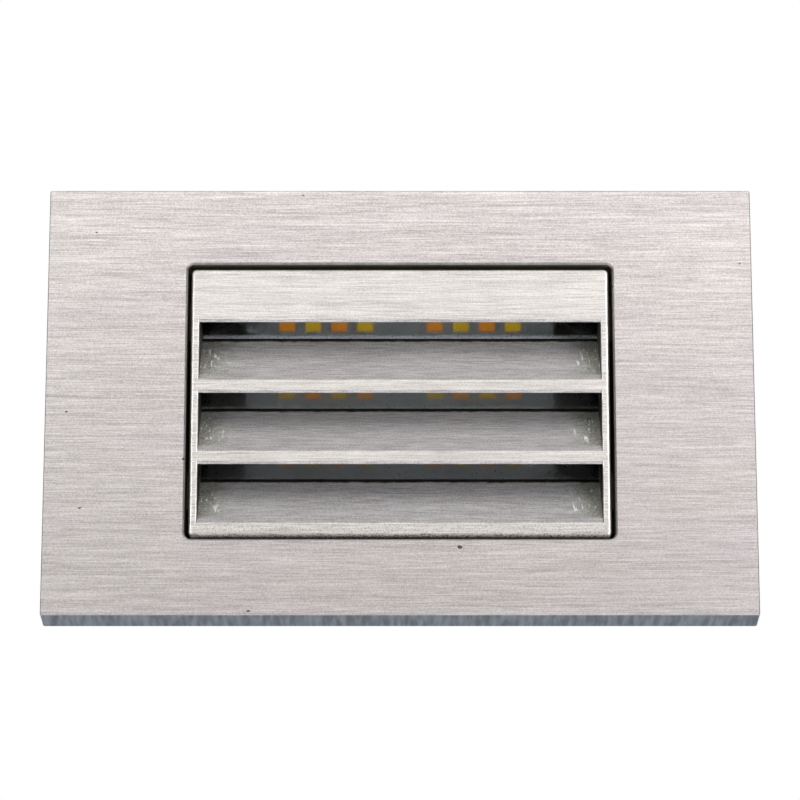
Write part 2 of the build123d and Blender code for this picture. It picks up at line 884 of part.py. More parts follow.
with BuildPart() as switch_slider:
    with BuildSketch(behind(carriage_back)):
        with Locations(switch_place):
            Rectangle(carriage_length, carriage_width)
    extrude(amount=carriage_thickness)
    with BuildSketch(behind(carriage_back)):
        with Locations(switch_place):
            Rectangle(stem_length, stem_width)
    extrude(amount=carriage_back - cover_back - stem_proud)
    chamfer(switch_slider.faces().sort_by(Axis.Y)[-1].edges(), stem_bevel)
switch_slider.part.label = "switch_slider"

# ---- Rear cover, its seal and the inlet grommet ----

inlet_place = (housing_width / 2 - inlet_inset, inlet_z)

with BuildPart() as cover_seal:
    with BuildSketch(behind(housing_back)):
        RectangleRounded(housing_width, housing_height, housing_corner)
        add(cavity_outline.sketch, mode=Mode.SUBTRACT)
        with Locations(*post_places):
            Circle(body_screw_radius + screw_clearance, mode=Mode.SUBTRACT)
    extrude(amount=-seal_thickness)
cover_seal.part.label = "cover_seal"

with BuildSketch() as lip_outline:
    add(cavity_outline.sketch)
    offset(amount=-cover_lip_gap, mode=Mode.REPLACE)

with BuildSketch() as lip_hollow:
    add(lip_outline.sketch)
    offset(amount=-cover_lip_wall, mode=Mode.REPLACE)

with BuildPart() as rear_cover:
    with BuildSketch(behind(cover_front)):
        RectangleRounded(housing_width, housing_height, housing_corner)
    extrude(amount=-cover_thickness)
    chamfer(rear_cover.faces().sort_by(Axis.Y)[-1].edges(), cover_edge)
    with BuildSketch(behind(cover_front)):
        add(lip_outline.sketch)
        add(lip_hollow.sketch, mode=Mode.SUBTRACT)
    extrude(amount=cover_lip_height)
    with BuildSketch(behind(cover_back)):
        with Locations(*post_places):
            Circle(body_screw_radius + screw_clearance)
        with Locations(inlet_place):
            Circle(inlet_neck + inlet_fit)
        with Locations(switch_place):
            Rectangle(stem_window, stem_window_width)
    extrude(amount=cover_thickness, mode=Mode.SUBTRACT)
    # a shallow well lets a fingertip or a screwdriver reach the stem
    with BuildSketch(behind(cover_back)):
        with Locations(switch_place):
            RectangleRounded(
                stem_window + 2 * finger_margin, stem_window_width + 2 * finger_margin, finger_margin
            )
    extrude(amount=finger_recess, mode=Mode.SUBTRACT)
rear_cover.part.label = "rear_cover"

grommet = turned(
    (inlet_bore, -inlet_flange_thickness),
    (inlet_flange, -inlet_flange_thickness),
    (inlet_flange, 0),
    (inlet_neck, 0),
    (inlet_neck, cover_thickness),
    (inlet_flange, cover_thickness),
    (inlet_flange, cover_thickness + inlet_flange_thickness),
    (inlet_bore, cover_thickness + inlet_flange_thickness),
)
with BuildPart() as inlet_grommet:
    with Locations(at(inlet_place, cover_front)):
        add(grommet)
inlet_grommet.part.label = "inlet_grommet"

# ---- Write every piece ----

pieces = [
    faceplate,
    faceplate_magnets,
    mounting_strap,
    ground_screw,
    wall_gasket,
    louvre_grille,
    grille_screws,
    lens,
    lens_seal,
    led_board,
    leds_warm,
    leds_cool,
    led_board_screws,
    thermal_pad,
    housing,
    body_screws,
    driver_board,
    driver_screws,
    transformer_core,
    transformer_winding,
    electrolytic_capacitors,
    film_capacitor,
    inductor,
    rectifier,
    controller,
    fuse,
    varistor,
    wire_terminals,
    led_header,
    switch_case,
    switch_pins,
    switch_slider,
    cover_seal,
    rear_cover,
    inlet_grommet,
]

for piece in pieces:
    export_step(piece.part, f"parts/{piece.part.label}.step")
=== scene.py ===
import math

import bpy
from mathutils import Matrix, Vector


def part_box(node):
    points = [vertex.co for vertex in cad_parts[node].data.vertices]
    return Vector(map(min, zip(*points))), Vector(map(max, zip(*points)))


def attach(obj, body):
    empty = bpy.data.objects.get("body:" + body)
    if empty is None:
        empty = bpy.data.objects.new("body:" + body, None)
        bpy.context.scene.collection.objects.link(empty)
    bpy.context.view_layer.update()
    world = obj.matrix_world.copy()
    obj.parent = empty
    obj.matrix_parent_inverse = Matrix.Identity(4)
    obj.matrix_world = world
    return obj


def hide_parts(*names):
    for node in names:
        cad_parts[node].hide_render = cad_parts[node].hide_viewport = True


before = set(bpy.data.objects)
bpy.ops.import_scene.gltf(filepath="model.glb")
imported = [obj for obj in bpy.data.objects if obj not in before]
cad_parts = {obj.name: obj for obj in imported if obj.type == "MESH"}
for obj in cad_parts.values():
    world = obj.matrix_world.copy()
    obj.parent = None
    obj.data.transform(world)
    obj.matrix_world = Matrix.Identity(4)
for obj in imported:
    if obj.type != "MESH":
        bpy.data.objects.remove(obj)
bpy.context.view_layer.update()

# A louvred LED step light, seen from a little below, in metres. The frame's origin is at the middle
# of the wall box's mouth: +X is to the right, +Z up, and the light faces -Y.

MM = 0.001

# Noise lies about 0.5. It is spread between two tones over one of these ranges: the narrower the
# range, the harder the pattern.
SOFT, FIRM = (0.3, 0.7), (0.35, 0.65)


# ---- Small tools ----


def from_hex(text):
    """An sRGB hex colour as the linear colour that Blender's sockets take."""
    channels = [int(text[i:i + 2], 16) / 255 for i in (0, 2, 4)]
    linear = [c / 12.92 if c <= 0.04045 else ((c + 0.055) / 1.055) ** 2.4 for c in channels]
    return (*linear, 1.0)


def first_output(node):
    """The first output that the node's settings leave in use."""
    return next(output for output in node.outputs if output.enabled)


def add_node(tree, kind, inputs=None, **settings):
    """Adds a node with these settings. Inputs maps a socket to a value, a hex colour, an output, or
    a node whose first output in use it takes, and a socket that joins several to a list of these. A
    tuple fills the sockets in order."""
    node = tree.nodes.new(kind)
    for name, value in settings.items():
        setattr(node, name, value)
    if isinstance(inputs, tuple):
        inputs = dict(enumerate(inputs))
    for name, value in (inputs or {}).items():
        socket = node.inputs[name] if isinstance(name, int) else next(
            each for each in node.inputs if each.name == name and each.enabled)
        for source in value if isinstance(value, list) else [value]:
            if isinstance(source, bpy.types.Node):
                source = first_output(source)
            if isinstance(source, bpy.types.NodeSocket):
                tree.links.new(source, socket)
            elif isinstance(source, str) and socket.type == "RGBA":
                socket.default_value = from_hex(source)
            else:
                socket.default_value = source
    return node


def new_material(name, **surface):
    """A material with one Principled shader, whose sockets take these values. Returns it with its
    tree and shader."""
    material = bpy.data.materials.new(name)
    material.use_nodes = True
    tree = material.node_tree
    shader = tree.nodes["Principled BSDF"]
    for socket, value in surface.items():
        shader.inputs[socket.replace("_", " ")].default_value = value
    return material, tree, shader


def in_steps_of(tree, size):
    """The object coordinates, counted in steps of this size along X, Y and Z. One number stands for
    all three."""
    step = size if isinstance(size, tuple) else (size, size, size)
    place = add_node(tree, "ShaderNodeTexCoord").outputs["Object"]
    return add_node(tree, "ShaderNodeVectorMath", (place, step), operation="DIVIDE")


def grain(tree, size, detail=2.0, roughness=0.5):
    """Soft noise about 0.5, whose cells have this size."""
    look = {"Vector": in_steps_of(tree, size), "Scale": 1.0, "Detail": detail,
            "Roughness": roughness}
    return add_node(tree, "ShaderNodeTexNoise", look).outputs["Fac"]


def place_in_mm(tree, *measures):
    """These measures of the object coordinates, in millimetres: "X", or "|X|" for how far it is
    from the middle, and so on."""
    split = add_node(tree, "ShaderNodeSeparateXYZ", (in_steps_of(tree, MM),)).outputs
    return [add_node(tree, "ShaderNodeMath", (split[measure[1]],), operation="ABSOLUTE")
            if measure.startswith("|") else split[measure] for measure in measures]


def facing(tree, axis, limits=(0.5, 0.8)):
    """Near 1 where the surface faces along this axis, either way."""
    way = add_node(tree, "ShaderNodeTexCoord").outputs["Normal"]
    share = add_node(tree, "ShaderNodeSeparateXYZ", (way,)).outputs[axis]
    size = add_node(tree, "ShaderNodeMath", (share,), operation="ABSOLUTE")
    return add_node(tree, "ShaderNodeMapRange", (size, *limits))


def two_tone(tree, pattern, limits, dark, light):
    """A colour that goes from dark to light as the pattern goes from one limit to the other."""
    amount = add_node(tree, "ShaderNodeMapRange", (pattern, *limits))
    return add_node(tree, "ShaderNodeMix", {"Factor": amount, "A": dark, "B": light},
                    data_type="RGBA")


def laid_over(tree, base, *coats):
    """The base colour with these coats over it, the last on top. Each is (amount, colour)."""
    for amount, colour in coats:
        base = add_node(tree, "ShaderNodeMix", {"Factor": amount, "A": base, "B": colour},
                        data_type="RGBA")
    return base


def zone(tree, *bounds, most=1.0):
    """An amount that reaches its most where every measure has passed its limits. Each bound is
    (measure, (where it starts, where it is full)), and the start may be the greater."""
    amount = most
    for measure, limits in bounds:
        passed = add_node(tree, "ShaderNodeMapRange", (measure, *limits))
        amount = add_node(tree, "ShaderNodeMath", (amount, passed), operation="MULTIPLY")
    return amount


def paint(tree, shader, relief=None, **sources):
    """Links sources to the shader's sockets. Relief is (height from 0 to 1, depth, strength), and
    lifts the surface."""
    if relief:
        height, depth, strength = relief
        sources["Normal"] = add_node(tree, "ShaderNodeBump",
                                     {"Height": height, "Distance": depth, "Strength": strength})
    for name, source in sources.items():
        if isinstance(source, bpy.types.Node):
            source = first_output(source)
        tree.links.new(source, shader.inputs[name.replace("_", " ")])


def use(material, *nodes):
    """Gives the material to every slot of these CAD nodes."""
    for name in nodes:
        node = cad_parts[name]
        if not node.material_slots:
            node.data.materials.append(material)
        for slot in node.material_slots:
            slot.material = material


# ---- Camera ----

# The photo was taken from below the light's level, on its centre line, with a long lens.
CAMERA_DISTANCE = 764.0 * MM
CAMERA_BELOW = math.radians(18.0)
NEAREST_SEEN = 50.0 * MM
FOCAL_LENGTH, SENSOR_WIDTH = 203.3, 36.0
PLATE_FRONT = Vector((0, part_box("faceplate")[0].y, 0))

camera = bpy.data.objects.new("camera", bpy.data.cameras.new("camera"))
camera.data.lens = FOCAL_LENGTH
camera.data.sensor_width = SENSOR_WIDTH
camera.data.clip_start = NEAREST_SEEN
towards_light = Vector((0, math.cos(CAMERA_BELOW), math.sin(CAMERA_BELOW)))
camera.location = PLATE_FRONT - CAMERA_DISTANCE * towards_light
camera.rotation_euler = (math.pi / 2 + CAMERA_BELOW, 0, 0)
bpy.context.collection.objects.link(camera)
bpy.context.scene.camera = camera

# ---- Studio ----

bpy.context.scene.view_settings.view_transform = "Standard"

ROOM_BELOW, ROOM_ABOVE = "2E333A", "BCBAB8"
ROOM_STRENGTH = 0.24
# The room turns from dark to pale between these slopes, and the backdrop starts between these: each
# is the share of a ray's way that is up, or back from the light.
ROOM_TURNS_PALE, BACKDROP_STARTS = (-0.25, 0.30), (0.2, 0.7)

FLOOR_REACH, FLOOR_LEVEL = 900.0 * MM, -340.0 * MM
FLOOR_WHITENESS = 0.6


def build_world():
    """A dim room that is pale above and dark below. The camera sees a white backdrop all round, and
    metal and glass see it where it stands: behind the light."""
    world = bpy.data.worlds.new("studio")
    world.use_nodes = True
    tree = world.node_tree
    tree.nodes.clear()
    place = add_node(tree, "ShaderNodeTexCoord").outputs["Generated"]
    way = add_node(tree, "ShaderNodeSeparateXYZ", (place,)).outputs
    room_colour = two_tone(tree, way["Z"], ROOM_TURNS_PALE, ROOM_BELOW, ROOM_ABOVE)
    room = add_node(tree, "ShaderNodeBackground",
                    {"Color": room_colour, "Strength": ROOM_STRENGTH})
    white = add_node(tree, "ShaderNodeBackground", {"Color": "FFFFFF", "Strength": 1.0})
    ray = add_node(tree, "ShaderNodeLightPath").outputs
    mirrored = add_node(tree, "ShaderNodeMath", (ray["Is Glossy Ray"], ray["Is Transmission Ray"]),
                        operation="MAXIMUM")
    behind = zone(tree, (mirrored, (0.0, 1.0)), (way["Y"], BACKDROP_STARTS))
    seen = add_node(tree, "ShaderNodeMath", (ray["Is Camera Ray"], behind), operation="MAXIMUM")
    backdrop = add_node(tree, "ShaderNodeMixShader", (seen, room, white))
    add_node(tree, "ShaderNodeOutputWorld", {"Surface": backdrop})
    bpy.context.scene.world = world


def build_floor():
    """A pale floor well below the light, under the camera's view."""
    mesh = bpy.data.meshes.new("floor")
    corners = [(x * FLOOR_REACH, y * FLOOR_REACH, FLOOR_LEVEL)
               for x, y in ((-1, -1), (1, -1), (1, 1), (-1, 1))]
    mesh.from_pydata(corners, [], [(0, 1, 2, 3)])
    floor = bpy.data.objects.new("floor", mesh)
    bpy.context.collection.objects.link(floor)
    material, tree, shader = new_material("matt_white_paper", Roughness=0.9)
    paint(tree, shader,
          Base_Color=two_tone(tree, grain(tree, 60 * MM), SOFT, "E2E2E2", "EAEAEA"))
    white = add_node(tree, "ShaderNodeEmission", {"Color": "FFFFFF", "Strength": 1.0})
    ray = add_node(tree, "ShaderNodeLightPath").outputs
    seen = add_node(tree, "ShaderNodeMath", (ray["Is Camera Ray"], ray["Is Glossy Ray"]),
                    operation="MAXIMUM")
    share = add_node(tree, "ShaderNodeMath", (seen, FLOOR_WHITENESS), operation="MULTIPLY")
    lift = add_node(tree, "ShaderNodeMixShader", (share, shader, white))
    tree.links.new(lift.outputs[0], tree.nodes["Material Output"].inputs["Surface"])
    mesh.materials.append(material)


def add_softbox(name, place, target, size, power, colour):
    """A rectangular softbox at a place, turned towards a target, all in millimetres."""
    lamp = bpy.data.lights.new(name, "AREA")
    lamp.shape = "RECTANGLE"
    lamp.size, lamp.size_y = (side * MM for side in size)
    lamp.energy = power
    lamp.color = from_hex(colour)[:3]
    holder = bpy.data.objects.new(name, lamp)
    holder.location = Vector(place) * MM
    way = Vector(target) * MM - holder.location
    holder.rotation_mode = "QUATERNION"
    holder.rotation_quaternion = way.to_track_quat("-Z", "Y")
    bpy.context.collection.objects.link(holder)


build_world()
build_floor()
# Each softbox: its name, place, target, width and height, power in watts, and colour
for softbox in (
        ("top_strip", (0, -110, 150), (0, 0, 20), (300, 60), 0.072, "FFF8FA"),
        ("key", (0, -260, 160), (0, 0, 20), (420, 130), 0.285, "FFFDF7"),
        ("front", (0, -600, 20), (0, 0, 0), (600, 80), 0.27, "FFF3F5"),
        ("right_window", (330, -420, 10), (0, 0, 0), (200, 100), 1.62, "F6F6FF"),
        ("left_window", (-330, -420, 10), (0, 0, 0), (200, 100), 0.90, "F2FAFF")):
    add_softbox(*softbox)

# ---- Metals ----

# A belt leaves fine scratches along X. Real ones are near 0.05 mm apart, too fine for this view, so
# they are drawn about 0.13 mm apart on the front and 0.24 mm apart on the blades. Each is a cell's
# size along X, Y and Z.
BRUSH_ON_FRONT = (6.0 * MM, 0.13 * MM, 0.13 * MM)
BRUSH_ON_BLADES = (4.2 * MM, 0.24 * MM, 30.0 * MM)
SPECK_LENGTH = 0.22 * MM
# The marks' lows and highs, between which the plating goes from its dark to its light tone
FRONT_STREAKS, BLADE_STREAKS = (0.36, 0.64), (0.39, 0.61)
BRUSHED_ANISOTROPY = 0.7

# Where zones of the metals start and where they are full, in millimetres in the frame. Sides are
# measured from the middle along X and rises from the middle along Z, both ways.
WINDOW_SIDES, WINDOW_RISES, BEHIND_PLATE_FRONT = (37.2, 37.0), (25.4, 25.2), (-6.5, -6.3)
STRAP_SHADE_SIDES = (37.4, 37.2)
GRILLE_SIDES, GRILLE_RISES = (35.1, 35.3), (23.3, 23.5)
BEHIND_LIPS, BEHIND_GRILLE_FRONT, SLOT_ENDS = (-5.0, -4.5), (-4.9, -4.5), (-5.6, -5.2)
CAST_SKIN_AT_ENDS, CAST_SKIN_AND_SHADE_AT_BACK, SILL = (30.0, 35.5), (0.5, 6.5), (-23.75, -24.25)
SPECKS_ABOVE_SILL, INNER_EDGE_SHADE_LINE = (-21.9, -22.4), (2.70, 3.00)
SCRATCH_GLINTS_AT_ENDS, SCRATCH_GLINTS_START, SCRATCH_GLINTS_STOP = (27.0, 30.0), (-4.4, -3.4), (1.6, 0.6)


def brush_marks(tree, cell, speckle):
    """Streaks along X, about 0.5: short scratches over longer, softer bands, broken up by a fine
    speckle."""
    length, width, depth = cell
    scratches = grain(tree, cell, roughness=0.6)
    bands = grain(tree, (6 * length, 5 * width, 5 * depth))
    streaks = add_node(tree, "ShaderNodeMix", {"Factor": 0.25, "A": scratches, "B": bands})
    specks = grain(tree, (SPECK_LENGTH, 1.5 * width, 1.5 * depth), detail=1.0)
    return add_node(tree, "ShaderNodeMix", {"Factor": speckle, "A": streaks, "B": specks})


def brushed_across(tree, shader):
    """Makes highlights long across the brushing, which runs along X."""
    shader.inputs["Anisotropic"].default_value = BRUSHED_ANISOTROPY
    paint(tree, shader,
          Tangent=add_node(tree, "ShaderNodeTangent", direction_type="RADIAL", axis="X"))


def satin_nickel_plate():
    """The faceplate: a zinc casting with a satin nickel plating, brushed straight across with a
    fine belt. The eye gets level grey-white streaks, a slow drift between warm and lilac, and a few
    dark pinholes. The faces along Z, where the belt doesn't reach, are a mottled blue-grey made
    darker as painted shade, and the window's walls are painted dull dark brown as painted shade."""
    material, tree, shader = new_material("satin_nickel_brushed_plate", Metallic=1.0)
    y, side, rise = place_in_mm(tree, "Y", "|X|", "|Z|")
    marks = brush_marks(tree, BRUSH_ON_FRONT, speckle=0.34)
    brushed = two_tone(tree, marks, FRONT_STREAKS, "BAB7B6", "F6F5F4")
    drift = grain(tree, (40 * MM, 30 * MM, 14 * MM), detail=1.0)
    veil = two_tone(tree, drift, FIRM, "FCFAF9", "FBF7F9")
    veiled = add_node(tree, "ShaderNodeMix", {"Factor": 1.0, "A": brushed, "B": veil},
                      data_type="RGBA", blend_type="MULTIPLY")
    pits = zone(tree, (grain(tree, (2.2 * MM, 2.2 * MM, 1.4 * MM), detail=0.0), (0.87, 0.885)))
    # Painted shade: faces along Z, the underside among them, get a darker mottled blue-grey.
    mottle = grain(tree, (0.9 * MM, 9 * MM, 9 * MM), detail=3.0)
    edge = two_tone(tree, mottle, FIRM, "646E78", "929CA8")
    # Painted shade: the window's walls, in the gap round the grille, are painted dark brown.
    shaded_window_walls = zone(tree, (side, WINDOW_SIDES), (rise, WINDOW_RISES), (y, BEHIND_PLATE_FRONT))
    metal = laid_over(tree, veiled, (pits, "5E5854"), (facing(tree, "Z"), edge), (shaded_window_walls, "7E745C"))
    paint(tree, shader, Base_Color=metal, relief=(marks, 0.02 * MM, 0.6),
          Roughness=add_node(tree, "ShaderNodeMapRange", (marks, *SOFT, 0.48, 0.36)))
    brushed_across(tree, shader)
    return material


def satin_nickel_casting():
    """The louvre grille: a zinc die casting in the same plating, brushed on its front and along its
    blades. Near the blades' ends and inner edges the belt doesn't reach: there the grey-green,
    pebbled cast skin is left, and towards the inner edges its darker tone is also painted shade
    from the blade above. A few scratches near the ends are drawn as white, non-metallic specks,
    which are painted glints, and a dark brown line along each blade's inner edge is painted
    shade. The slots' end walls and the grille's outer walls are painted dark as painted shade."""
    material, tree, shader = new_material("satin_nickel_zinc_casting")
    y, z, side, rise = place_in_mm(tree, "Y", "Z", "|X|", "|Z|")
    on_blades = facing(tree, "Z", (0.2, 0.4))
    marks = add_node(tree, "ShaderNodeMix", {
        "Factor": on_blades, "A": brush_marks(tree, BRUSH_ON_FRONT, speckle=0.3),
        "B": brush_marks(tree, BRUSH_ON_BLADES, speckle=0.3)})

    # Ragged measures: the noise moves a zone's border by up to this many millimetres.
    ragged = grain(tree, (1.6 * MM, 0.8 * MM, 0.8 * MM), detail=4.0)
    ragged_side, ragged_depth, ragged_height, ragged_line = (
        add_node(tree, "ShaderNodeMath", (ragged, most, measure), operation="MULTIPLY_ADD")
        for most, measure in ((6.0, side), (3.0, y), (-1.2, z), (0.5, y)))

    at_ends = zone(tree, (ragged_side, CAST_SKIN_AT_ENDS), (y, BEHIND_LIPS))
    # Towards each blade's inner edge, under the blade above, the skin's darker tone is painted
    # shade.
    skin_and_shade_at_back = zone(tree, (ragged_depth, CAST_SKIN_AND_SHADE_AT_BACK), most=0.4)
    unbrushed_and_shaded = add_node(tree, "ShaderNodeMath", (at_ends, skin_and_shade_at_back), operation="MAXIMUM")
    sill = zone(tree, (ragged_height, SILL))
    skin = add_node(tree, "ShaderNodeMath", (unbrushed_and_shaded, sill), operation="MAXIMUM")
    pebble = grain(tree, 0.3 * MM, detail=3.0, roughness=0.6)
    specks = zone(tree, (pebble, (0.55, 0.62)), (ragged_height, SPECKS_ABOVE_SILL), most=0.5)
    # Painted glints: small scratches near the blades' ends are drawn as white, non-metallic specks.
    scratch_glints = zone(tree, (grain(tree, (0.36 * MM, 2.4 * MM, 2.4 * MM), detail=1.0), (0.61, 0.66)),
                 (grain(tree, 2.2 * MM, detail=1.0), (0.46, 0.50)),
                 (side, SCRATCH_GLINTS_AT_ENDS), (y, SCRATCH_GLINTS_START), (y, SCRATCH_GLINTS_STOP))
    # Painted shade: a dark brown line along each blade's inner edge.
    inner_edge_shade = zone(tree, (ragged_line, INNER_EDGE_SHADE_LINE))
    # Painted shade: the slots' end walls and the grille's outer walls, in the gaps, are painted
    # dark.
    outside = add_node(tree, "ShaderNodeMath", (zone(tree, (side, GRILLE_SIDES)),
                                                zone(tree, (rise, GRILLE_RISES))),
                       operation="MAXIMUM")
    shaded_slot_walls = add_node(tree, "ShaderNodeMath", (
        zone(tree, (facing(tree, "X"), (0, 1)), (y, SLOT_ENDS)),
        zone(tree, (outside, (0, 1)), (y, BEHIND_GRILLE_FRONT))), operation="MAXIMUM")

    front = two_tone(tree, marks, FRONT_STREAKS, "CAC6C2", "FFFEFA")
    blades = two_tone(tree, marks, BLADE_STREAKS, "C6C3C3", "FFFEFE")
    cast = two_tone(tree, pebble, FIRM, "86877F", "C4C5BD")
    grimy = two_tone(tree, pebble, (0.40, 0.60), "6A6456", "E0DCD2")
    metal = laid_over(tree, front, (on_blades, blades), (unbrushed_and_shaded, cast), (specks, "9C9484"),
                      (sill, grimy), (scratch_glints, "DCE0DC"), (inner_edge_shade, "3A3424"), (shaded_slot_walls, "4E4A40"))
    height = add_node(tree, "ShaderNodeMix", {"Factor": skin, "A": marks, "B": pebble})
    satin = add_node(tree, "ShaderNodeMapRange", (marks, *SOFT, 0.52, 0.42))
    paint(tree, shader, Base_Color=metal, relief=(height, 0.03 * MM, 0.6),
          Roughness=add_node(tree, "ShaderNodeMix", {"Factor": skin, "A": satin, "B": 0.60}),
          Metallic=add_node(tree, "ShaderNodeMath", (1.0, scratch_glints), operation="SUBTRACT"))
    brushed_across(tree, shader)
    return material


def plated(name, dark, light, ring=None):
    """Stamped or turned metal in a thin plating: a plain metal with faint clouds in its gloss. A
    ring colour is painted shade: it paints what shows in the gap round the louvre grille dark."""
    material, tree, shader = new_material(name, Metallic=1.0)
    cloud = grain(tree, 4 * MM, detail=3.0)
    metal = two_tone(tree, cloud, FIRM, dark, light)
    if ring:
        side, rise = place_in_mm(tree, "|X|", "|Z|")
        # Painted shade: the part in the gap round the grille takes the ring colour.
        metal = laid_over(tree, metal,
                          (zone(tree, (side, STRAP_SHADE_SIDES), (rise, WINDOW_RISES)), ring))
    paint(tree, shader, Base_Color=metal, relief=(grain(tree, 0.3 * MM), 0.01 * MM, 0.5),
          Roughness=add_node(tree, "ShaderNodeMapRange", (cloud, *FIRM, 0.40, 0.26)))
    return material


# ---- Plastics, rubbers and boards ----

# For each blade, in millimetres: the height where the lens starts to show over it and how far a
# band of painted light, for light from the front falling on the lens, reaches up from there. The
# last number is how strong that painted light is.
PAINTED_LIGHT_OVER_BLADES = ((14.5, 0.95, 0.85), (1.85, 0.5, 0.22), (-10.8, 0.5, 0.16))
# Over that height, the painted light is full after the first distance and thins out from the second
# on.
PAINTED_LIGHT_EDGE, PAINTED_LIGHT_FADE = 0.15, 0.45
# The LEDs' painted glow, which stands for light falling most on the top row, grows from nothing to
# its most between these heights, in millimetres.
PAINTED_GLOW_HEIGHTS, MOST_PAINTED_GLOW = (-2.0, 18.0), 0.31
# The white board is greyed with painted shade from the first height down to the second.
BOARD_SHADE_HEIGHTS = (14.0, 2.0)
# The raised lanes' edges lie between these values of the cell pattern.
LANE_EDGE = (0.40, 0.46)


def frosted_polycarbonate():
    """The lens: clear polycarbonate with a lightly etched back, so that what is behind it goes
    soft. A thin, pale, less clear band over each blade is painted light from the front."""
    material, tree, shader = new_material("frosted_polycarbonate", IOR=1.58)
    height = place_in_mm(tree, "Z")[0]
    uneven = add_node(tree, "ShaderNodeMath", (grain(tree, (3 * MM, MM, 0.5 * MM)), 0.5, height),
                      operation="MULTIPLY_ADD")
    painted_light_band = 0.0
    # Painted light: over each blade a pale, less clear band stands for light falling on the lens.
    for edge, reach, most in PAINTED_LIGHT_OVER_BLADES:
        blade_light_band = zone(tree, (height, (edge, edge + PAINTED_LIGHT_EDGE)),
                    (uneven, (edge + reach + PAINTED_LIGHT_EDGE, edge + PAINTED_LIGHT_FADE)), most=most)
        painted_light_band = add_node(tree, "ShaderNodeMath", (painted_light_band, blade_light_band), operation="ADD")
    gloss = add_node(tree, "ShaderNodeMapRange", (grain(tree, 0.4 * MM), *SOFT, 0.26, 0.32))
    paint(tree, shader, Base_Color=laid_over(tree, "F4F8F8", (painted_light_band, "C8CEDA")), Roughness=gloss,
          Transmission_Weight=add_node(tree, "ShaderNodeMath", (1.0, painted_light_band), operation="SUBTRACT"))
    shadow = add_node(tree, "ShaderNodeLightPath").outputs["Is Shadow Ray"]
    clear = add_node(tree, "ShaderNodeBsdfTransparent", {"Color": "E8F0F0"})
    surface = add_node(tree, "ShaderNodeMixShader", (shadow, shader, clear))
    tree.links.new(surface.outputs[0], tree.nodes["Material Output"].inputs["Surface"])
    return material


def moulded(name, dark, light, roughness, cell=0.25 * MM, depth=0.01 * MM):
    """A moulded, cast or coated skin: two close tones in a fine grain that lifts the surface."""
    material, tree, shader = new_material(name)
    skin = grain(tree, cell)
    gloss = add_node(tree, "ShaderNodeMapRange", (skin, *SOFT, roughness + 0.06, roughness - 0.06))
    paint(tree, shader, Base_Color=two_tone(tree, skin, SOFT, dark, light),
          relief=(skin, depth, 0.5), Roughness=gloss)
    return material


def phosphor(name, dark, light):
    """An LED's face: phosphor in clear silicone. A faint painted glow, most in the top row, stands
    for the light that falls on the LEDs there."""
    material, tree, shader = new_material(name, Roughness=0.4, IOR=1.41, Emission_Strength=1.0)
    colour = two_tone(tree, grain(tree, 0.3 * MM), SOFT, dark, light)
    # Painted light: the glow grows with height, most on the top row.
    lit = add_node(tree, "ShaderNodeMapRange",
                   (place_in_mm(tree, "Z")[0], *PAINTED_GLOW_HEIGHTS, 0.0, MOST_PAINTED_GLOW))
    paint(tree, shader, Base_Color=colour, Emission_Color=laid_over(tree, "000000", (lit, colour)))
    return material


def foam():
    """The wall gasket and the dark strip of painted shade round the grille: closed-cell foam, a
    dull charcoal full of small round pores."""
    material, tree, shader = new_material("closed_cell_foam", Roughness=0.92)
    pores = add_node(tree, "ShaderNodeTexVoronoi", {
        "Vector": in_steps_of(tree, 0.45 * MM), "Scale": 1.0}).outputs["Distance"]
    paint(tree, shader, Base_Color=two_tone(tree, pores, (0.15, 0.6), "101112", "2B2D2F"),
          relief=(pores, 0.12 * MM, 0.8))
    return material


def printed_board(name, mask_dark, mask_light, edge, painted_shade_low=None):
    """A printed board: glossy solder mask over copper tracks that show as faint raised lanes, and
    bare edges. A given low colour greys the mask further down as painted shade."""
    material, tree, shader = new_material(name)
    lanes = add_node(tree, "ShaderNodeTexVoronoi", {
        "Vector": in_steps_of(tree, (3.2 * MM, 3.2 * MM, 2.4 * MM)), "Scale": 1.0,
        "Randomness": 0.35}, distance="CHEBYCHEV", feature="F1").outputs["Distance"]
    masked = two_tone(tree, lanes, LANE_EDGE, mask_dark, mask_light)
    if painted_shade_low:
        # Painted shade: the mask greys further down.
        lower_shade = zone(tree, (place_in_mm(tree, "Z")[0], BOARD_SHADE_HEIGHTS))
        masked = laid_over(tree, masked, (lower_shade, painted_shade_low))
    board = laid_over(tree, edge, (facing(tree, "Y", (0.5, 0.6)), masked))
    gloss = add_node(tree, "ShaderNodeMapRange", (grain(tree, 0.8 * MM), *SOFT, 0.42, 0.30))
    paint(tree, shader, Base_Color=board, Roughness=gloss,
          relief=(zone(tree, (lanes, LANE_EDGE)), 0.035 * MM, 0.5))
    return material


def wound(name, dark, light, step):
    """A winding: tape or wire laid turn on turn, with a fine line at each turn's edge and a clear,
    glossy skin."""
    material, tree, shader = new_material(name, Coat_Weight=0.5)
    waves = add_node(tree, "ShaderNodeTexWave", {
        "Vector": in_steps_of(tree, step), "Scale": 0.35, "Distortion": 0.6,
        "Detail": 1.0}, bands_direction="Y").outputs["Fac"]
    gloss = add_node(tree, "ShaderNodeMapRange", (grain(tree, 1.5 * MM), *SOFT, 0.36, 0.24))
    paint(tree, shader, Base_Color=two_tone(tree, waves, (0.1, 0.4), dark, light),
          relief=(waves, 0.03 * MM, 0.6), Roughness=gloss)
    return material


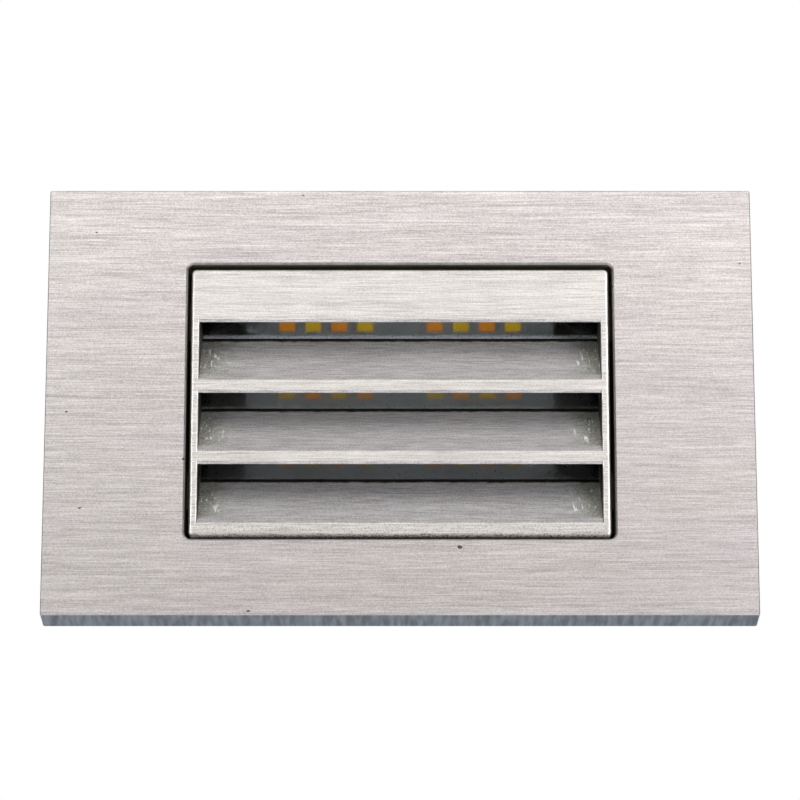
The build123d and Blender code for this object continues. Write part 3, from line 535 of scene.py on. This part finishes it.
zinc = plated("zinc_plated_steel", "A9ADB2", "C6CACC")
green_zinc = plated("green_passivated_zinc", "2E7A46", "4C9A5E")
bright_tin = plated("tinned_brass", "B9B4A4", "D8D4C8")
bare_aluminium = plated("bare_aluminium", "C4C8CA", "E0E2E4")
enamelled_copper = plated("enamelled_copper_wire", "A8522A", "CC7440")
orange_phosphor = phosphor("orange_phosphor", "E88A10", "F4A01C")
yellow_phosphor = phosphor("yellow_phosphor", "DEB010", "E8C01C")
led_frame = moulded("white_reflector_plastic", "D8D8D2", "ECECE6", roughness=0.5, cell=0.3 * MM)
sleeve_film = moulded("black_pet_sleeve", "121316", "1C1E22", roughness=0.3, cell=2.0 * MM)
ferrite = moulded("manganese_zinc_ferrite", "26272A", "3A3B3E", roughness=0.55, cell=0.2 * MM,
                  depth=0.02 * MM)
foam_rubber = foam()
cover_nylon = moulded("glass_filled_nylon", "161616", "202020", roughness=0.5, cell=0.3 * MM,
                      depth=0.015 * MM)
chip_ceramic = moulded("glazed_chip_ceramic", "1A1B1E", "2C2620", roughness=0.35, cell=0.4 * MM)

use(satin_nickel_plate(), "faceplate")
use(satin_nickel_casting(), "louvre_grille")
use(zinc, "switch_case")
# The strap's part behind the gap round the grille is painted near black as painted shade.
use(plated("zinc_plated_strap", "A2A6AA", "C2C6C8", ring="1A1A1A"), "mounting_strap")
use(plated("bright_nickel_plated_magnet", "B8B6B2", "DAD8D4"), "faceplate_magnets")
use(bright_tin, "switch_pins")
use(frosted_polycarbonate(), "lens")
use(foam_rubber, "wall_gasket")
# The LED board's mask greys further down as painted shade.
use(printed_board("white_solder_mask", "EAF1F6", "F6FBFF", edge="A8ACAE", painted_shade_low="B2B7BA"),
    "led_board")
use(printed_board("green_solder_mask", "14502E", "1E6A3C", edge="8C8A5C"), "driver_board")
use(cover_nylon, "rear_cover")
use(ferrite, "transformer_core")
use(wound("polyester_tape", "B98A1E", "E2B63C", step=MM), "transformer_winding")

# Each moulded finish: its name, tones, roughness, grain and relief in millimetres, and its nodes
for finish, dark, light, roughness, cell, depth, nodes in (
        ("black_powder_coat", "141414", "222222", 0.5, 0.35, 0.03, ["housing"]),
        ("black_epdm_rubber", "101010", "1A1A1A", 0.75, 0.4, 0.02, ["inlet_grommet"]),
        ("grey_silicone_rubber", "8E9294", "A6AAAC", 0.62, 0.5, 0.01, ["lens_seal", "cover_seal"]),
        ("filled_silicone_pad", "A8B2BE", "BAC4CE", 0.8, 0.3, 0.03, ["thermal_pad"]),
        ("film_capacitor_epoxy", "8C2A1C", "A6382A", 0.4, 0.6, 0.01, ["film_capacitor"]),
        ("blue_dipped_epoxy", "1C4A92", "2A60AE", 0.28, 1.5, 0.04, ["varistor"]),
        ("black_moulded_epoxy", "17181A", "242528", 0.6, 0.12, 0.01,
         ["rectifier", "controller", "led_header"]),
        ("glazed_ceramic", "E2DCCC", "F0ECE0", 0.22, 0.8, 0.01, ["fuse"]),
        ("orange_polyamide", "D8741C", "E88A2E", 0.42, 0.3, 0.01, ["wire_terminals"]),
        ("white_acetal", "E2E1DC", "EEEDE8", 0.38, 0.5, 0.01, ["switch_slider"])):
    use(moulded(finish, dark, light, roughness, cell * MM, depth * MM), *nodes)

# ---- Pieces that repeat or follow a path ----

# In each maker, shares are sizes that follow from the ones given: name: (size, times).
TWO_FINISHES = ("Finish", "Second Finish")
SEED = 7
# An edge that bends more than the first, in radians, stays sharp, and points nearer than the second
# are joined.
SHARP_BEND, SAME_PLACE = 0.55, 0.0001 * MM


def new_maker(name, sizes, shares=None, finishes=("Finish",)):
    """A Geometry Nodes tree that takes points, these sizes in metres, the way that the pieces face
    and these finishes. Returns it with all of its inputs and shares by name."""
    tree = bpy.data.node_groups.new(name, "GeometryNodeTree")
    tree.interface.new_socket("Points", in_out="INPUT", socket_type="NodeSocketGeometry")
    for size in (*sizes, "Facing"):
        tree.interface.new_socket(size, in_out="INPUT", socket_type="NodeSocketFloat")
    for finish in finishes:
        tree.interface.new_socket(finish, in_out="INPUT", socket_type="NodeSocketMaterial")
    tree.interface.new_socket("Pieces", in_out="OUTPUT", socket_type="NodeSocketGeometry")
    given = dict(add_node(tree, "NodeGroupInput").outputs.items())
    for share, (size, times) in (shares or {}).items():
        given[share] = add_node(tree, "ShaderNodeMath", (given[size], times), operation="MULTIPLY")
    return tree, given


def turned(tree, height, radius, outline, steps, sides=32):
    """A solid turned about Z, standing on the origin. The outline runs from its foot, 0, to its
    top, 1, and gives the share of the radius there: each point is (place, share)."""
    top = add_node(tree, "ShaderNodeCombineXYZ", {"Z": height})
    line = add_node(tree, "GeometryNodeCurvePrimitiveLine", {"End": top})
    axis = add_node(tree, "GeometryNodeResampleCurve", {"Curve": line, "Count": steps})
    place = add_node(tree, "GeometryNodeSplineParameter").outputs["Factor"]
    shape = add_node(tree, "ShaderNodeFloatCurve", {"Value": place})
    profile = shape.mapping.curves[0]
    for point, (along, share) in zip(profile.points, (outline[0], outline[-1])):
        point.location = (along, share)
    for along, share in outline[1:-1]:
        profile.points.new(along, share)
    for point in profile.points:
        point.handle_type = "VECTOR"
    shape.mapping.update()
    ring = add_node(tree, "GeometryNodeCurvePrimitiveCircle", {"Resolution": sides, "Radius": 1.0})
    scale = add_node(tree, "ShaderNodeMath", (shape, radius), operation="MULTIPLY")
    return add_node(tree, "GeometryNodeCurveToMesh",
                    {"Curve": axis, "Profile Curve": ring, "Scale": scale, "Fill Caps": True})


def coiled(tree, height, pitch, reach, wire, steps, sides):
    """A wire of this radius, coiled about Z from the origin up, out to this reach."""
    turns = add_node(tree, "ShaderNodeMath", (height, pitch), operation="DIVIDE")
    middle = add_node(tree, "ShaderNodeMath", (reach, wire), operation="SUBTRACT")
    spiral = add_node(tree, "GeometryNodeCurveSpiral",
                      {"Resolution": steps, "Rotations": turns, "Start Radius": middle,
                       "End Radius": middle, "Height": height})
    ring = add_node(tree, "GeometryNodeCurvePrimitiveCircle",
                    {"Resolution": sides, "Radius": wire})
    return add_node(tree, "GeometryNodeCurveToMesh",
                    {"Curve": spiral, "Profile Curve": ring, "Fill Caps": True})


def rounded_outline(tree, width, height, corner, steps):
    """A rectangle with rounded corners."""
    box = add_node(tree, "GeometryNodeCurvePrimitiveQuadrilateral",
                   {"Width": width, "Height": height})
    return add_node(tree, "GeometryNodeFilletCurve",
                    {"Curve": box, "Radius": corner, "Count": steps}, mode="POLY")


def raised(tree, flat, height):
    """A closed slab on this flat mesh. Returns the slab and a choice of its top."""
    lifted = add_node(tree, "GeometryNodeExtrudeMesh",
                      {"Mesh": flat, "Offset Scale": height, "Individual": False})
    foot = add_node(tree, "GeometryNodeFlipFaces", {"Mesh": flat})
    shell = add_node(tree, "GeometryNodeJoinGeometry", {"Geometry": [lifted, foot]})
    slab = add_node(tree, "GeometryNodeMergeByDistance",
                    {"Geometry": shell, "Distance": SAME_PLACE})
    return slab, lifted.outputs["Top"]


def slab_within(tree, outlines, height):
    """A closed slab that fills these outlines. One inside another is a hole."""
    outline = add_node(tree, "GeometryNodeJoinGeometry", {"Geometry": outlines})
    return raised(tree, add_node(tree, "GeometryNodeFillCurve", {"Curve": outline}), height)[0]


def moved(tree, piece, **by):
    """The piece, moved along X, Y or Z."""
    way = add_node(tree, "ShaderNodeCombineXYZ", by)
    return add_node(tree, "GeometryNodeTransform", {"Geometry": piece, "Translation": way})


def set_out(tree, sizes, first, second=(), turn=0.0):
    """Ends the tree: at each point a copy of these solids, turned to its side and smooth but for
    its sharp edges, the first in Finish and the second in Second Finish. Turn is how far copies are
    turned about their own axis, at random with a fixed seed."""
    solids = [*first]
    if second:
        joined = add_node(tree, "GeometryNodeJoinGeometry", {"Geometry": [*second]})
        solids.append(add_node(tree, "GeometryNodeStoreNamedAttribute",
                               {"Geometry": joined, "Name": "second", "Value": True},
                               data_type="BOOLEAN", domain="FACE"))
    piece = add_node(tree, "GeometryNodeJoinGeometry", {"Geometry": solids})
    spin = add_node(tree, "FunctionNodeRandomValue", {"Min": 0.0, "Max": turn, "Seed": SEED})
    way = add_node(tree, "ShaderNodeCombineXYZ", {"X": sizes["Facing"], "Y": spin})
    rotation = add_node(tree, "FunctionNodeEulerToRotation", {"Euler": way})
    copies = add_node(tree, "GeometryNodeInstanceOnPoints",
                      {"Points": sizes["Points"], "Instance": piece, "Rotation": rotation})
    real = add_node(tree, "GeometryNodeRealizeInstances", {"Geometry": copies})
    smooth = add_node(tree, "GeometryNodeSetShadeSmooth", {"Geometry": real, "Shade Smooth": True})
    bend = add_node(tree, "GeometryNodeInputMeshEdgeAngle").outputs["Unsigned Angle"]
    sharp = add_node(tree, "FunctionNodeCompare", (bend, SHARP_BEND),
                     operation="GREATER_THAN")
    crisp = add_node(tree, "GeometryNodeSetShadeSmooth",
                     {"Geometry": smooth, "Selection": sharp, "Shade Smooth": False},
                     domain="EDGE")
    done = add_node(tree, "GeometryNodeSetMaterial",
                    {"Geometry": crisp, "Material": sizes["Finish"]})
    if second:
        chosen = add_node(tree, "GeometryNodeInputNamedAttribute", {"Name": "second"},
                          data_type="BOOLEAN")
        done = add_node(tree, "GeometryNodeSetMaterial",
                        {"Geometry": done, "Selection": chosen,
                         "Material": sizes["Second Finish"]})
    add_node(tree, "NodeGroupOutput", {"Pieces": done})
    return tree


def make(name, tree, points, body, slot, replaced, way, finishes, **sizes):
    """Runs a tree over points, with its sizes, all in millimetres, keeps what it makes as a plain
    mesh, and hands it to the frame."""
    seeds = bpy.data.meshes.new(name)
    seeds.from_pydata([[part * MM for part in point] for point in points], [], [])
    piece = bpy.data.objects.new(name, seeds)
    bpy.context.collection.objects.link(piece)
    maker = piece.modifiers.new("maker", "NODES")
    maker.node_group = tree
    given = {size.replace("_", " "): length * MM for size, length in sizes.items()}
    given.update(zip(TWO_FINISHES, finishes), Facing=way)
    for socket in tree.interface.items_tree:
        if socket.in_out == "INPUT" and socket.name in given:
            maker[socket.identifier] = given[socket.name]
    made = piece.evaluated_get(bpy.context.evaluated_depsgraph_get())
    mesh = bpy.data.meshes.new_from_object(made)
    piece.modifiers.remove(maker)
    piece.data = mesh
    if "second" in mesh.attributes:
        mesh.attributes.remove(mesh.attributes["second"])
    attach(piece, body)
    if replaced:
        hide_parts(replaced)


# Each outline is a list of (place from foot to top, share of the radius).
PAN_HEAD = ((0, 1), (0.42, 1), (0.58, 0.975), (0.72, 0.91), (0.84, 0.80), (0.93, 0.64), (1, 0.46))
FLUSH_HEAD = ((0, 0.52), (0.97, 0.985), (1, 0.97))
SHANK = ((0, 0.68), (0.05, 0.86), (1, 0.86))
SLEEVED_CAN = ((0, 0.95), (0.02, 1), (0.13, 1), (0.16, 0.93), (0.19, 0.93), (0.22, 1), (0.955, 1),
               (0.985, 0.965), (1, 0.88))
SLEEVE_OPENING, LID = ((0, 0.82), (1, 0.82)), ((0, 0.80), (1, 0.80))
FLANGE, SPOOL = ((0, 0.93), (0.2, 1), (0.8, 1), (1, 0.93)), ((0, 1), (1, 1))
DOT = ((0, 1), (0.4, 0.96), (0.7, 0.82), (0.9, 0.55), (1, 0.3))

SCREW_SIZES = ("Head Radius", "Head Height", "Shank Radius", "Length", "Pitch")
# A screw's recess is this wide at its foot and at its mouth, as a share of its arm.
RECESS_FOOT, RECESS_MOUTH = 0.45, 1.1


def screw_maker(name, head_outline):
    """A cross-recess machine screw, its head above the origin's plane and its shank below. A
    helical ridge makes the thread."""
    tree, sizes = new_maker(name, SCREW_SIZES, {
        "Arm Length": ("Head Radius", 1.22), "Arm Width": ("Head Radius", 0.26),
        "Arm Depth": ("Head Height", 1.3), "Arm Foot": ("Arm Depth", -0.5),
        "Arm Mouth": ("Arm Depth", 0.5), "Ridge": ("Pitch", 0.30), "Down": ("Length", -1.0)})
    place = add_node(tree, "GeometryNodeInputPosition")
    depth = add_node(tree, "ShaderNodeSeparateXYZ", (place,)).outputs["Z"]
    narrow = add_node(tree, "ShaderNodeMapRange",
                      (depth, sizes["Arm Foot"], sizes["Arm Mouth"], RECESS_FOOT, RECESS_MOUTH))
    share = add_node(tree, "ShaderNodeCombineXYZ", {"X": narrow, "Y": narrow, "Z": 1.0})
    tapered = add_node(tree, "ShaderNodeVectorMath", (place, share), operation="MULTIPLY")
    arms = []
    for across, along in (("Arm Length", "Arm Width"), ("Arm Width", "Arm Length")):
        size = add_node(tree, "ShaderNodeCombineXYZ",
                        {"X": sizes[across], "Y": sizes[along], "Z": sizes["Arm Depth"]})
        box = add_node(tree, "GeometryNodeMeshCube", {"Size": size})
        arm = add_node(tree, "GeometryNodeSetPosition", {"Geometry": box, "Position": tapered})
        arms.append(moved(tree, arm, Z=sizes["Head Height"]))
    blank = turned(tree, sizes["Head Height"], sizes["Head Radius"], head_outline, steps=21)
    head = add_node(tree, "GeometryNodeMeshBoolean", {"Mesh 1": blank, "Mesh 2": arms},
                    operation="DIFFERENCE", solver="EXACT")
    shank = turned(tree, sizes["Length"], sizes["Shank Radius"], SHANK, steps=41, sides=20)
    thread = coiled(tree, sizes["Length"], sizes["Pitch"], sizes["Shank Radius"], sizes["Ridge"],
                    steps=14, sides=4)
    below = [moved(tree, part, Z=sizes["Down"]) for part in (shank, thread)]
    return set_out(tree, sizes, [head, *below], turn=2 * math.pi)


def led_maker():
    """A surface-mount LED: a white reflector frame with a slightly domed bed of phosphor in it."""
    tree, sizes = new_maker("led_package", ["Width", "Height", "Thickness", "Rim"], {
        "Bed Corner": ("Rim", 2.2), "Fill": ("Thickness", 0.80), "Swell": ("Thickness", 0.14)},
        TWO_FINISHES)
    bed = [add_node(tree, "ShaderNodeMath", (sizes["Rim"], -2.0, sizes[side]),
                    operation="MULTIPLY_ADD") for side in ("Width", "Height")]
    outlines = [rounded_outline(tree, sizes["Width"], sizes["Height"], sizes["Rim"], steps=5),
                rounded_outline(tree, *bed, sizes["Bed Corner"], steps=5)]
    reflector = slab_within(tree, outlines, sizes["Thickness"])
    grid = add_node(tree, "GeometryNodeMeshGrid",
                    {"Size X": bed[0], "Size Y": bed[1], "Vertices X": 7, "Vertices Y": 7})
    slab, top = raised(tree, grid, sizes["Fill"])
    place = add_node(tree, "ShaderNodeSeparateXYZ",
                     (add_node(tree, "GeometryNodeInputPosition"),)).outputs
    # The bed rises by its whole swell at its middle and not at all at its edges.
    swell = sizes["Swell"]
    for axis, side in zip("XY", bed):
        ratio = add_node(tree, "ShaderNodeMath", (place[axis], side), operation="DIVIDE")
        square = add_node(tree, "ShaderNodeMath", (ratio, ratio), operation="MULTIPLY")
        falling = add_node(tree, "ShaderNodeMath", (square, -4.0, 1.0), operation="MULTIPLY_ADD")
        swell = add_node(tree, "ShaderNodeMath", (swell, falling), operation="MULTIPLY")
    lift = add_node(tree, "ShaderNodeCombineXYZ", {"Z": swell})
    domed = add_node(tree, "GeometryNodeSetPosition",
                     {"Geometry": slab, "Selection": top, "Offset": lift})
    return set_out(tree, sizes, [domed], [reflector])


def can_maker():
    """An electrolytic capacitor standing on the origin: a sleeved can with a crimp near its foot
    and a rolled edge, and a bare aluminium top that is scored to vent."""
    tree, sizes = new_maker("electrolytic_can", ["Radius", "Height"], {
        "Sleeve Top": ("Height", 0.97), "Lid Top": ("Height", 0.986),
        "Score Length": ("Radius", 1.25), "Score Width": ("Radius", 0.06)}, TWO_FINISHES)
    can = turned(tree, sizes["Height"], sizes["Radius"], SLEEVED_CAN, steps=101, sides=40)
    opening = turned(tree, sizes["Height"], sizes["Radius"], SLEEVE_OPENING, steps=2, sides=40)
    sleeve = add_node(tree, "GeometryNodeMeshBoolean",
                      {"Mesh 1": can, "Mesh 2": [moved(tree, opening, Z=sizes["Sleeve Top"])]},
                      operation="DIFFERENCE", solver="EXACT")
    scores = []
    for across, along in (("Score Length", "Score Width"), ("Score Width", "Score Length")):
        size = add_node(tree, "ShaderNodeCombineXYZ",
                        {"X": sizes[across], "Y": sizes[along], "Z": sizes["Score Width"]})
        bar = add_node(tree, "GeometryNodeMeshCube", {"Size": size})
        scores.append(moved(tree, bar, Z=sizes["Lid Top"]))
    disc = turned(tree, sizes["Lid Top"], sizes["Radius"], LID, steps=2, sides=40)
    lid = add_node(tree, "GeometryNodeMeshBoolean", {"Mesh 1": disc, "Mesh 2": scores},
                   operation="DIFFERENCE", solver="EXACT")
    return set_out(tree, sizes, [sleeve], [lid], turn=0.5)


def drum_maker():
    """A drum inductor standing on the origin: a ferrite spool between two flanges, wound with
    enamelled wire."""
    tree, sizes = new_maker("drum_inductor", ["Radius", "Height", "Flange", "Waist", "Wire"],
                            {"Wire Radius": ("Wire", 0.52)}, TWO_FINISHES)
    reach = add_node(tree, "ShaderNodeMath", (sizes["Radius"], sizes["Waist"]),
                     operation="SUBTRACT")
    core = add_node(tree, "ShaderNodeMath", (sizes["Wire"], -1.0, reach),
                    operation="MULTIPLY_ADD")
    upper = add_node(tree, "ShaderNodeMath", (sizes["Height"], sizes["Flange"]),
                     operation="SUBTRACT")
    between = add_node(tree, "ShaderNodeMath", (upper, sizes["Flange"]), operation="SUBTRACT")
    flange = turned(tree, sizes["Flange"], sizes["Radius"], FLANGE, steps=11, sides=40)
    spool = turned(tree, sizes["Height"], core, SPOOL, steps=2, sides=40)
    wire = coiled(tree, between, sizes["Wire"], reach, sizes["Wire Radius"], steps=40, sides=8)
    return set_out(tree, sizes, [flange, moved(tree, flange, Z=upper), spool],
                   [moved(tree, wire, Z=sizes["Flange"])])


def chip_maker():
    """A chip resistor or capacitor lying on the origin: a small block with a bright tinned cap over
    each end."""
    tree, sizes = new_maker("chip_part", ["Length", "Width", "Height"], {
        "Block Length": ("Length", 0.62), "Block Height": ("Height", 0.90),
        "Cap Length": ("Length", 0.22), "Right": ("Length", 0.39), "Left": ("Right", -1.0),
        "Corner": ("Height", 0.12)}, TWO_FINISHES)
    solids = []
    for length, height in (("Block Length", "Block Height"), ("Cap Length", "Height")):
        outline = rounded_outline(tree, sizes[length], sizes["Width"], sizes["Corner"], steps=3)
        solids.append(slab_within(tree, [outline], sizes[height]))
    block, cap = solids
    return set_out(tree, sizes, [block],
                   [moved(tree, cap, X=sizes[side]) for side in ("Left", "Right")])


def dot_maker():
    """A low moulded dot."""
    tree, sizes = new_maker("moulded_dot", ["Radius", "Height"])
    dot = turned(tree, sizes["Height"], sizes["Radius"], DOT, steps=9, sides=20)
    return set_out(tree, sizes, [dot])


def strip_maker():
    """A flat strip of foam that runs round a rectangle, with rounded corners."""
    tree, sizes = new_maker("foam_strip", ["Width", "Height", "Corner", "Breadth", "Thickness"])
    outlines = []
    for breadths in (0.0, 1.0):
        width, height, corner = (
            add_node(tree, "ShaderNodeMath", (sizes["Breadth"], times * breadths, sizes[size]),
                     operation="MULTIPLY_ADD")
            for size, times in (("Width", 2), ("Height", 2), ("Corner", 1)))
        outlines.append(rounded_outline(tree, width, height, corner, steps=10))
    return set_out(tree, sizes, [slab_within(tree, outlines, sizes["Thickness"])])


TO_THE_BACK, TO_THE_FRONT = -math.pi / 2, math.pi / 2
# The planes that pieces stand on, as Y in millimetres
STRAP_FRONT, EAR_FRONT = -1.5, -1.95
LED_BOARD_FRONT, DRIVER_BOARD_BACK, COVER_BACK = 7.4, 16.1, 32.1

pan_head = screw_maker("pan_head_screw", PAN_HEAD)
flush_head = screw_maker("countersunk_screw", FLUSH_HEAD)
# Each set of screws: its name, maker, places, slot and node, the way it faces, its finish and sizes
for name, maker, places, slot, replaced, way, finish, sizes in (
        ("rear_cover_screws", pan_head,
         [(x, COVER_BACK, z) for x in (-31.9, 31.9) for z in (-20.1, 20.1)],
         "screw_steel", "body_screws", TO_THE_BACK, zinc, (2.25, 1.5, 1.25, 32.0, 0.45)),
        ("board_screws", pan_head,
         [(-25.3, LED_BOARD_FRONT, 18.15), (25.3, LED_BOARD_FRONT, -11.25)],
         "screw_steel", "led_board_screws", TO_THE_FRONT, zinc, (2.25, 1.3, 1.25, 4.0, 0.45)),
        ("driver_board_screws", pan_head,
         [(-24.5, DRIVER_BOARD_BACK, 0), (24.5, DRIVER_BOARD_BACK, 13.5)],
         "screw_steel", "driver_screws", TO_THE_BACK, zinc, (1.9, 1.2, 1.0, 4.5, 0.40)),
        ("grounding_screw", pan_head, [(-47, STRAP_FRONT, -8)],
         "green_screw", "ground_screw", TO_THE_FRONT, green_zinc, (3.6, 1.8, 2.0, 1.5, 0.70)),
        ("ear_screws", flush_head, [(x, EAR_FRONT, z) for x in (-39, 39) for z in (-15, 15)],
         "screw_steel", "grille_screws", TO_THE_FRONT, zinc, (2.4, 1.15, 1.25, 1.95, 0.45))):
    make(name, maker, places, "light_body", slot, replaced, way, [finish],
         **dict(zip(SCREW_SIZES, sizes)))

# The two kinds of LED alternate along each row and from row to row.
LED_ROWS = (18.3, 6.1, -6.1)
LED_COLUMNS = (-19.5, -15.0, -10.5, -6.0, 6.0, 10.5, 15.0, 19.5)
led_package = led_maker()
for parity, name, slot, replaced, finish in (
        (0, "warm_led_packages", "warm_phosphor", "leds_warm", orange_phosphor),
        (1, "cool_led_packages", "cool_phosphor", "leds_cool", yellow_phosphor)):
    places = [(x, LED_BOARD_FRONT, z) for row, z in enumerate(LED_ROWS)
              for column, x in enumerate(LED_COLUMNS) if (row + column) % 2 == parity]
    make(name, led_package, places, "light_body", slot, replaced, TO_THE_FRONT,
         [finish, led_frame], Width=2.8, Height=3.5, Thickness=0.7, Rim=0.06)

make("electrolytic_cans", can_maker(), [(-22.5, DRIVER_BOARD_BACK, z) for z in (-11, 11)],
     "light_body", "black_sleeve", "electrolytic_capacitors", TO_THE_BACK,
     [sleeve_film, bare_aluminium], Radius=4.0, Height=11.0)
make("wound_inductor", drum_maker(), [(8, DRIVER_BOARD_BACK, -9.5)], "light_body", "ferrite",
     "inductor", TO_THE_BACK, [ferrite, enamelled_copper], Radius=4.0, Height=8.0, Flange=1.2,
     Waist=0.7, Wire=0.45)

CHIP_PLACES = ((-16.0, 6.6), (-12.6, 6.6), (-9.2, 6.6), (-5.8, 6.6), (-6.4, -5.6), (-6.4, -7.6),
               (-3.2, -4.2), (19.0, 11.0), (19.0, 8.4), (19.0, 5.8), (22.6, -1.6), (19.0, -1.6),
               (2.6, -3.4), (-20.5, 3.0))
make("chip_parts", chip_maker(), [(x, DRIVER_BOARD_BACK, z) for x, z in CHIP_PLACES],
     "light_body", "chip_epoxy", None, TO_THE_BACK, [chip_ceramic, bright_tin], Length=2.0,
     Width=1.25, Height=0.55)

# A strip of black foam on the strap's back, round its opening, is painted shade: a dark sheet that
# keeps the gap round the grille dark.
make("gap_shade_foam_strip", strip_maker(), [(0, 0, 0)], "light_body", "foam", None, TO_THE_BACK,
     [foam_rubber], Width=71.3, Height=47.7, Corner=1.0, Breadth=2.2, Thickness=3.0)

# Raised dots beside the switch's well on the rear cover stand for its three positions.
make("position_dots", dot_maker(), [(x, COVER_BACK, 6.4) for x in (-14, -12, -10)],
     "light_body", "cover_plastic", None, TO_THE_BACK, [cover_nylon], Radius=0.45, Height=0.3)
